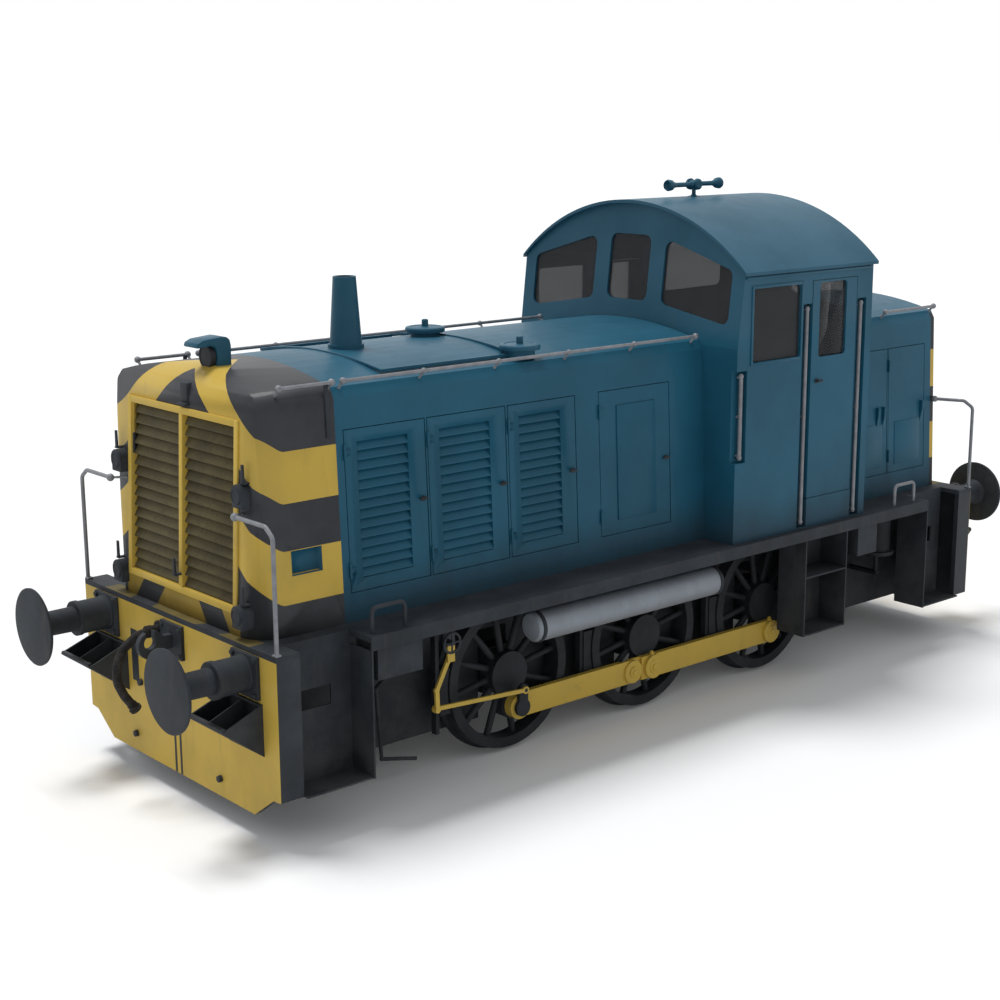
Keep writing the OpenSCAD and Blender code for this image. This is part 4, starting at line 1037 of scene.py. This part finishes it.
class LOCO_OT_rails(bpy.types.Operator):
    """Adds the handrails, corner posts and grab loops as bent tube"""
    bl_idname = "loco.rails"
    bl_label = "Handrails"

    def execute(self, context):
        s = context.scene.loco_rails
        r = s.post_radius
        parts = top_rail(s, -0.420, 2.735, 6) + top_rail(s, 2.821, 3.204, 2) + top_rail(s, -3.330, -2.680, 2)
        for x, knob, seat, top in ((3.495, (3.495, 0.771), (3.385, 0.700), 2.010),
                                   (-3.495, (-3.368, 0.885), (-3.345, 0.832), 1.975)):
            y = 1.178
            knob, seat = Vector((*knob, top)), Vector((*seat, top))
            turn = Vector((x, y, top)) + (knob - Vector((x, y, top))).normalized() * 0.075
            parts.append(pipe([(x, y, FOOTPLATE), (x, y, top - 0.055), turn, knob], r, 0.045))
            parts.append(ball(knob, s.ball_radius * 1.15))
            parts.append(bar(knob, seat, r * 0.6, 12))
            parts.append(block((x - 0.024, y - 0.030, FOOTPLATE), (x + 0.017, y + 0.015, FOOTPLATE + 0.012), 0.003))
        loops = []
        for low_x, high_x in ((2.535, 2.790), (-2.730, -2.475)):
            y, top = 1.170, 1.394
            loops.append(pipe([(low_x, y, FOOTPLATE), (low_x, y, top), (high_x, y, top),
                               (high_x, y, FOOTPLATE)], r, 0.04))
        parts.append(loops[1])
        hand_over(both_sides([loops[0]]), "front_grab_loops", "locomotive", "frame_black", "black_paint")
        low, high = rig.box("cab")
        for x, z0, z1 in ((high.x - 0.067, 1.861, 2.503), (-1.302, 1.262, 2.939), (-1.942, 1.262, 2.939)):
            y = high.y - 0.020
            parts.append(bar((x, y, z0), (x, y, z1), 0.015, 16))
            for z in (z0 + 0.02, z1 - 0.02):
                parts.append(ball((x, y, z), 0.0195))
            for z in (z0 + 0.03, (z0 + z1) / 2, z1 - 0.03):
                parts.append(bar((x, y - 0.034, z), (x, y, z), 0.011, 12))
        hand_over(both_sides(parts), "rails", "locomotive", "rail_paint", "rail_grey", ["handrails"])
        return {"FINISHED"}


# ---------------------------------------------------------------- ends

class EndSettings(bpy.types.PropertyGroup):
    """Buffers and brake hoses."""
    hose_radius: bpy.props.FloatProperty(
        name="Hose radius", description="Radius of the vacuum hose",
        unit="LENGTH", default=0.030, min=0.015, max=0.05)
    head_crown: bpy.props.FloatProperty(
        name="Buffer crown", description="How far the buffer head is domed",
        unit="LENGTH", default=0.014, min=0.0, max=0.03)


class LOCO_OT_buffers(bpy.types.Operator):
    """Adds the turned buffers with their base plates and bolts"""
    bl_idname = "loco.buffers"
    bl_label = "Buffers"

    def execute(self, context):
        s = context.scene.loco_ends
        low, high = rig.box("buffers")
        beam_x, y, z = 3.512, 0.868, 1.065
        length = high.x - beam_x
        body = turned((beam_x, y, z), (1, 0, 0), [
            (0.0, 0.118), (0.040, 0.118), (0.046, 0.112), (0.225, 0.112), (0.228, 0.119),
            (0.258, 0.119), (0.262, 0.114), (0.2625, 0.085), (length - 0.070, 0.082),
            (length - 0.040, 0.110), (length - 0.036, 0.250), (length - 0.032, 0.260),
            (length - s.head_crown - 0.004, 0.262), (length - s.head_crown, 0.257),
            (length - s.head_crown * 0.65, 0.205), (length - s.head_crown * 0.35, 0.150),
            (length - s.head_crown * 0.10, 0.080), (length, 0.020)], 64)
        plate = block((beam_x, y - 0.145, z - 0.145), (beam_x + 0.026, y + 0.145, z + 0.129), 0.004)
        bolts = []
        for dy in (-0.118, 0.118):
            for dz in (-0.118, 0.105):
                bolts.append(turned((beam_x + 0.024, y + dy, z + dz), (1, 0, 0), [
                    (0, 0.020), (0.014, 0.020), (0.017, 0.016)], 6))
        one = both_sides([body, plate] + bolts)
        ends = join([one, copy(one, mirror=0)])
        hand_over(ends, "buffer_set", "locomotive", "frame_black", "black_paint", ["buffers"])
        return {"FINISHED"}


class LOCO_OT_hoses(bpy.types.Operator):
    """Adds the vacuum hoses with their pipes and couplings"""
    bl_idname = "loco.hoses"
    bl_label = "Brake hoses"

    def execute(self, context):
        s = context.scene.loco_ends
        y, r = -0.180, s.hose_radius
        route = [(3.590, y, 1.095), (3.680, y, 1.085), (3.790, y, 1.010), (3.835, y, 0.900),
                 (3.835, y, 0.800), (3.790, y, 0.700), (3.735, y, 0.625)]
        hose = pipe(route, r, 0.120, 18, 4)
        end = Vector(route[-1])
        way = (end - Vector(route[-2])).normalized()
        head = turned(end - way * 0.012, way, [
            (0, r + 0.004), (0.030, r + 0.004), (0.033, r + 0.012), (0.050, r + 0.012), (0.052, r)], 28)
        stub = turned((3.512, y, 1.095), (1, 0, 0), [
            (0, 0.060), (0.012, 0.060), (0.014, 0.036), (0.060, 0.036), (0.062, 0.041), (0.100, 0.041),
            (0.102, 0.033)], 28)
        bands = [turned((3.600, y, 1.0945), (1, -0.0, -0.09), [(0, r + 0.005), (0.018, r + 0.005)], 24)]
        one = join([hose, head, stub] + bands)
        both = join([one, copy(one, mirror=0)])
        hand_over(both, "vacuum_hoses", "locomotive", "hose_rubber", "hose_rubber", ["brake_hoses"])
        return {"FINISHED"}


class LOCO_OT_beam_fittings(bpy.types.Operator):
    """Adds the bolts, the drawgear frame and the slots of the buffer beams"""
    bl_idname = "loco.beam_fittings"
    bl_label = "Beam fittings"

    def execute(self, context):
        x = 3.512
        parts = []
        for y, z in ((-0.554, 0.277), (0.510, 0.270), (-0.460, 0.663), (0.415, 0.648)):
            parts.append(turned((x - 0.004, y, z), (1, 0, 0), [
                (0, 0.024), (0.026, 0.024), (0.030, 0.019)], 6))
        parts.append(block((x - 0.004, -0.573, 0.656), (x + 0.002, -0.488, 1.015), 0.0))
        for y in (-0.055, 0.012):
            parts.append(block((x - 0.004, y, 0.152), (x + 0.002, y + 0.022, 0.760), 0.0))
        for dy in (-0.105, 0.105):
            for dz in (-0.085, 0.085):
                parts.append(turned((x + 0.022, dy, 1.068 + dz), (1, 0, 0), [
                    (0, 0.016), (0.012, 0.016), (0.014, 0.012)], 6))
        for y in (0.640, -1.030):
            parts.append(block((x - 0.004, y + 0.001, 0.566), (x + 0.004, y + 0.389, 0.899), 0.0))
        for y in (0.640, -1.030):
            parts.append(outline([
                (x, y, 0.888), (x, y, 0.902), (x + 0.286, y, 0.796), (x + 0.286, y, 0.784)], (0, 1, 0), 0.012, 0.001))
            parts.append(bar((x + 0.012, y + 0.004, 0.890), (x + 0.012, y + 0.386, 0.890), 0.010, 12))
            parts.append(block((x + 0.262, y + 0.004, 0.780), (x + 0.289, y + 0.386, 0.806), 0.003))
        one = join(parts)
        both = join([one, copy(one, mirror=0)])
        hand_over(both, "beam_bolts", "locomotive", "frame_black", "black_paint")
        return {"FINISHED"}


# ---------------------------------------------------------------- roof, cab and bonnet top

class LOCO_OT_cab_trim(bpy.types.Operator):
    """Adds window rubbers, door locks and rain strips"""
    bl_idname = "loco.cab_trim"
    bl_label = "Cab trim"

    def execute(self, context):
        low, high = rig.box("cab")
        y = high.y
        blue = []
        for x0, x1, z0, z1 in ((-1.205, -0.674, 2.574, 3.112),):
            for a, b in (((x0 - 0.022, z0 - 0.022), (x0, z1 + 0.022)), ((x1, z0 - 0.022), (x1 + 0.022, z1 + 0.022)),
                         ((x0, z0 - 0.022), (x1, z0)), ((x0, z1), (x1, z1 + 0.022))):
                blue.append(block((a[0], y - 0.004, a[1]), (b[0], y + 0.008, b[1]), 0.003))
        rain = block((low.x + 0.03, y - 0.002, 3.185), (high.x - 0.07, y + 0.016, 3.200), 0.004)
        plate = block((-1.392, y - 0.002, 2.320), (-1.372, y + 0.004, 2.430), 0.002)
        knob = join([
            turned((-1.410, y - 0.002, 2.367), (0, 1, 0), [(0, 0.018), (0.008, 0.018), (0.010, 0.010),
                                                           (0.026, 0.010)], 20),
            block((-1.465, y + 0.016, 2.359), (-1.400, y + 0.028, 2.375), 0.004)])
        hand_over(both_sides(blue + [rain]), "cab_trim_strips", "locomotive", "body_blue", "blue_paint")
        other = copy(knob, mirror=1)
        for piece, side in ((knob, "left"), (other, "right")):
            hand_over(piece, f"cab_lock_{side}", f"cab_door_{side}", "frame_black", "black_paint")
        bpy.data.objects.remove(plate)
        return {"FINISHED"}


class LOCO_OT_roof_fittings(bpy.types.Operator):
    """Turns the twin horn and the screw caps of the bonnet top"""
    bl_idname = "loco.roof_fittings"
    bl_label = "Roof fittings"

    def execute(self, context):
        low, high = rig.box("horn")
        x, z = (low.x + high.x) / 2, 3.808
        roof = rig.box("cab_roof")[1].z
        parts = [
            turned((x, 0, roof - 0.012), (0, 0, 1), [
                (0, 0.050), (0.014, 0.050), (0.020, 0.024), (0.030, 0.016), (z - roof, 0.016)], 28),
            turned((x, -0.062, z), (0, 1, 0), [
                (0, 0.030), (0.010, 0.042), (0.030, 0.045), (0.034, 0.034), (0.090, 0.034), (0.094, 0.045),
                (0.114, 0.042), (0.124, 0.030)], 32)]
        for way in (1, -1):
            parts.append(turned((x + 0.030 * way, 0.024 * way, z), (way, 0, 0), [
                (0, 0.024), (0.040, 0.024), (0.046, 0.018), (0.200, 0.019), (0.232, 0.026), (0.252, 0.040),
                (0.268, 0.043), (0.286, 0.045), (0.300, 0.038), (0.294, 0.034), (0.270, 0.012)], 32))
        hand_over(join(parts), "twin_horn", "locomotive", "body_blue", "blue_paint", ["horn"])
        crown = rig.box("bonnet")[1].z
        caps = []
        for x, y in ((1.303, -0.152), (1.150, 0.690)):
            z = crown - 4.1 + math.sqrt(4.1 ** 2 - y * y)
            caps.append(turned((x, y, z - 0.030), (0, 0, 1), [
                (0, 0.104), (0.052, 0.104), (0.056, 0.132), (0.060, 0.140), (0.082, 0.142), (0.092, 0.136),
                (0.096, 0.112), (0.091, 0.104), (0.094, 0.040), (0.097, 0.024), (0.140, 0.023),
                (0.146, 0.018)], 56))
        hand_over(join(caps), "filler_caps", "locomotive", "body_blue", "blue_paint", ["bonnet_caps"])
        return {"FINISHED"}


class LOCO_OT_bonnet_seams(bpy.types.Operator):
    """Adds the raised hatch strips on the bonnet top"""
    bl_idname = "loco.bonnet_seams"
    bl_label = "Bonnet seams"

    def execute(self, context):
        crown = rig.box("bonnet")[1].z

        def camber(y):
            return crown - 4.1 + math.sqrt(4.1 ** 2 - y * y)

        parts = []
        half, rear, front = 0.700, 1.190, 2.310
        for x in (rear, front):
            ys = [-half + i * half / 6 for i in range(13)]
            top = [(x, v, camber(v) + 0.009) for v in ys]
            foot = [(x, v, camber(v) - 0.012) for v in reversed(ys)]
            parts.append(outline(top + foot, (1, 0, 0), 0.024, 0.003))
        for y in (-half + 0.012, half - 0.012):
            z = camber(y)
            parts.append(block((rear + 0.010, y - 0.012, z - 0.016), (front + 0.014, y + 0.012, z + 0.008), 0.003))
        hand_over(join(parts), "bonnet_top_seams", "locomotive", "body_blue", "blue_paint")
        return {"FINISHED"}


# ---------------------------------------------------------------- underframe

class LOCO_OT_reservoir_bands(bpy.types.Operator):
    """Adds the domed ends, end rings and straps of the air reservoirs"""
    bl_idname = "loco.reservoir_bands"
    bl_label = "Reservoir bands"

    def execute(self, context):
        low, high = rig.box("air_reservoirs")
        y, z, r = 1.085, 0.968, 0.108
        tank = turned((low.x, y, z), (1, 0, 0), [
            (0.0, 0.060), (0.008, 0.090), (0.024, 0.104), (0.045, 0.108), (high.x - low.x - 0.045, 0.108),
            (high.x - low.x - 0.024, 0.104), (high.x - low.x - 0.008, 0.090), (high.x - low.x, 0.060)], 64)
        hand_over(both_sides([tank]), "reservoirs", "locomotive", "tank_paint", "reservoir_grey",
                  ["air_reservoirs"])
        dark = []
        for x in (low.x + 0.030, high.x - 0.062):
            dark.append(turned((x, y, z), (1, 0, 0), [(0, r), (0.003, r + 0.005), (0.028, r + 0.005), (0.031, r)], 64))
        for x in (low.x + 0.045, high.x - 0.048):
            dark.append(block((x - 0.014, y - 0.014, 1.070), (x + 0.014, y + 0.014, 1.195), 0.003))
        hand_over(both_sides(dark), "reservoir_bands", "locomotive", "frame_black", "black_paint")
        return {"FINISHED"}


class LOCO_OT_rod_caps(bpy.types.Operator):
    """Adds pin caps, washers and oil cups to the coupling rods"""
    bl_idname = "loco.rod_caps"
    bl_label = "Rod caps"

    def execute(self, context):
        axles = [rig.box(n) for n in ("wheelset_front", "wheelset_middle", "wheelset_rear")]
        for side, sign, angle in (("left", 1, 262), ("right", -1, 352)):
            a = math.radians(angle)
            parts = []
            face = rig.box(f"rods_{side}")[1 if sign > 0 else 0].y * sign
            for index, (low, high) in enumerate(axles):
                x = (low.x + high.x) / 2 + 0.230 * math.cos(a)
                z = (low.z + high.z) / 2 + 0.230 * math.sin(a)
                if not (index == 0 and side == "left"):
                    parts.append(turned((x, face - 0.001, z), (0, 1, 0), [
                        (0, 0.050), (0.0035, 0.050), (0.006, 0.046), (0.0062, 0.024), (0.014, 0.024),
                        (0.016, 0.020)], 32))
                cup = turned((x + 0.0, face - 0.034, z + 0.088), (0, 0, 1), [
                    (0, 0.020), (0.014, 0.020), (0.016, 0.013), (0.026, 0.013), (0.028, 0.010)], 20)
                parts.append(cup)
            low, high = axles[1]
            x = (low.x + high.x) / 2 + 0.230 * math.cos(a) + 0.209
            z = (low.z + high.z) / 2 + 0.230 * math.sin(a)
            parts.append(turned((x, face - 0.011, z), (0, 1, 0), [
                (0, 0.040), (0.010, 0.040), (0.012, 0.036), (0.0125, 0.018), (0.020, 0.018)], 32))
            piece = join(parts)
            if sign < 0:
                piece.scale.y = -1
                settle(piece)
                edit(piece)
                done(piece)
            hand_over(piece, f"rod_caps_{side}", f"rods_{side}", "rod_yellow", "yellow_paint")
        return {"FINISHED"}


# ---------------------------------------------------------------- stage

class LOCO_OT_stage(bpy.types.Operator):
    """Adds the floor, the lights, the world and the camera"""
    bl_idname = "loco.stage"
    bl_label = "Stage"

    def execute(self, context):
        s = context.scene.loco_stage
        deselect()
        bpy.ops.mesh.primitive_plane_add(size=400, location=(0, 0, -0.001))
        floor = context.object
        floor.name = "floor"
        f = Finish("floor")
        seen = f.node("LightPath", {}, {}, "Is Camera Ray")
        mirror = f.node("LightPath", {}, {}, "Is Glossy Ray")
        clear = f.node("LightPath", {}, {}, "Is Transmission Ray")
        shown = (seen + mirror + clear).least(1.0)
        plain = f.node("BsdfDiffuse", {}, {"Color": (0.80, 0.80, 0.80, 1)})
        white = f.node("BsdfDiffuse", {}, {"Color": (1.0, 1.0, 1.0, 1)})
        glow = f.node("Emission", {}, {"Color": (1, 1, 1, 1), "Strength": 0.03})
        lit = f.node("AddShader", {}, {0: white, 1: glow})
        floor.data.materials.append(f.done(f.node("MixShader", {}, {0: shown, 1: plain, 2: lit})))
        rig.stage(floor)

        world = bpy.data.worlds.new("studio")
        context.scene.world = world
        world.use_nodes = True
        tree = world.node_tree
        tree.nodes.clear()
        path = tree.nodes.new("ShaderNodeLightPath")
        even = tree.nodes.new("ShaderNodeBackground")
        even.inputs["Strength"].default_value = s.sky
        plain_white = tree.nodes.new("ShaderNodeBackground")
        plain_white.inputs["Strength"].default_value = 1.0
        plain_white.inputs["Color"].default_value = (1, 1, 1, 1)
        even.inputs["Color"].default_value = (0.96, 0.98, 1, 1)
        pick = tree.nodes.new("ShaderNodeMixShader")
        out = tree.nodes.new("ShaderNodeOutputWorld")
        one = tree.nodes.new("ShaderNodeMath")
        two = tree.nodes.new("ShaderNodeMath")
        one.operation = two.operation = "ADD"
        tree.links.new(path.outputs["Is Camera Ray"], one.inputs[0])
        tree.links.new(path.outputs["Is Glossy Ray"], one.inputs[1])
        tree.links.new(one.outputs[0], two.inputs[0])
        tree.links.new(path.outputs["Is Transmission Ray"], two.inputs[1])
        two.use_clamp = True
        tree.links.new(two.outputs[0], pick.inputs[0])
        tree.links.new(even.outputs[0], pick.inputs[1])
        tree.links.new(plain_white.outputs[0], pick.inputs[2])
        tree.links.new(pick.outputs[0], out.inputs["Surface"])

        bpy.ops.object.light_add(type="SUN", location=(0, 0, 12),
                                 rotation=(math.radians(17), math.radians(3), 0))
        sun = context.object
        sun.name = "overhead"
        sun.data.energy = s.sun
        sun.data.angle = math.radians(20)

        bpy.ops.object.camera_add(location=s.eye)
        camera = context.object
        a, e = s.azimuth, s.elevation
        back = Vector((math.sin(a) * math.cos(e), -math.cos(a) * math.cos(e), math.sin(e)))
        turn = (-back).to_track_quat("-Z", "Y") @ Euler((0, 0, s.roll)).to_quaternion()
        camera.rotation_mode = "QUATERNION"
        camera.rotation_quaternion = turn
        camera.data.lens, camera.data.sensor_width = s.lens, 36
        camera.data.clip_end = 500
        context.scene.camera = camera
        context.scene.view_settings.view_transform = "Standard"
        return {"FINISHED"}


NODE_FINISH = {
    "footplate": "footplate_black", "frame_plates": "frame_black", "stretchers": "frame_black",
    "buffer_beams": "end_yellow", "steps": "frame_black", "buffers": "frame_black",
    "draw_hooks": "frame_black", "brake_hoses": "hose_rubber", "bonnet": "body_blue",
    "radiator_casing": "nose_stripes", "radiator_grille": "end_yellow", "rear_bonnet": "rear_stripes",
    "cab": "cab_shell", "cab_roof": "cab_shell", "cab_glass": "window_glass",
    "cab_interior": "cab_trim", "exhaust_stack": "body_blue", "bonnet_caps": "body_blue",
    "lamps": "frame_black", "handrails": "rail_paint", "horn": "body_blue",
    "wheelset_front": "running_steel", "wheelset_middle": "running_steel",
    "wheelset_rear": "running_steel", "rods_left": "rod_yellow", "rods_right": "rod_yellow",
    "drive_link": "rod_yellow", "drive_lever": "rod_yellow", "valve_wheel": "frame_black",
    "air_reservoirs": "tank_paint", "sand_gear": "frame_black", "brake_gear": "running_steel",
    "axleboxes": "running_steel", "machinery": "frame_black",
}


class LOCO_OT_paint_frame(bpy.types.Operator):
    """Gives every CAD node that stays in sight its finish"""
    bl_idname = "loco.paint_frame"
    bl_label = "Paint the frame"

    def execute(self, context):
        for name, node in NODES.items():
            node.data.materials.clear()
            node.data.materials.append(finish(NODE_FINISH.get(name, "body_blue")))
        return {"FINISHED"}


SETTINGS = {
    "loco_paint": PaintSettings, "loco_doors": DoorSettings, "loco_rails": RailSettings,
    "loco_ends": EndSettings, "loco_stage": StageSettings,
}
OPERATORS = [
    LOCO_OT_paint_frame, LOCO_OT_louvred_doors, LOCO_OT_plain_doors, LOCO_OT_nose,
    LOCO_OT_cab_doors, LOCO_OT_lamps, LOCO_OT_rails,
    LOCO_OT_buffers, LOCO_OT_hoses, LOCO_OT_beam_fittings, LOCO_OT_cab_trim,
    LOCO_OT_roof_fittings, LOCO_OT_bonnet_seams,
    LOCO_OT_reservoir_bands, LOCO_OT_rod_caps, LOCO_OT_stage,
]


class LOCO_PT_panel(bpy.types.Panel):
    """Lists the locomotive's settings and its pieces"""
    bl_idname = "LOCO_PT_panel"
    bl_label = "Locomotive"
    bl_space_type = "VIEW_3D"
    bl_region_type = "UI"
    bl_category = "Locomotive"

    def draw(self, context):
        for name in SETTINGS:
            group = getattr(context.scene, name)
            box = self.layout.box()
            for key in group.bl_rna.properties.keys():
                if key not in {"rna_type", "name"}:
                    box.prop(group, key)
        for operator in OPERATORS:
            self.layout.operator(operator.bl_idname)


def register():
    for cls in [*SETTINGS.values(), *OPERATORS, LOCO_PT_panel]:
        bpy.utils.register_class(cls)
    for name, group in SETTINGS.items():
        setattr(bpy.types.Scene, name, bpy.props.PointerProperty(type=group))


def unregister():
    for name in SETTINGS:
        delattr(bpy.types.Scene, name)
    for cls in reversed([*SETTINGS.values(), *OPERATORS, LOCO_PT_panel]):
        bpy.utils.unregister_class(cls)


def main():
    register()
    for operator in OPERATORS:
        getattr(bpy.ops.loco, operator.bl_idname.split(".")[1])()
    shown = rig.bounds()
    with open("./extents.json", "w") as out:
        json.dump({"cad": [list(c) for c in CAD_BOX], "visual": [list(c) for c in shown]}, out)


if __name__ == "__main__":
    main()
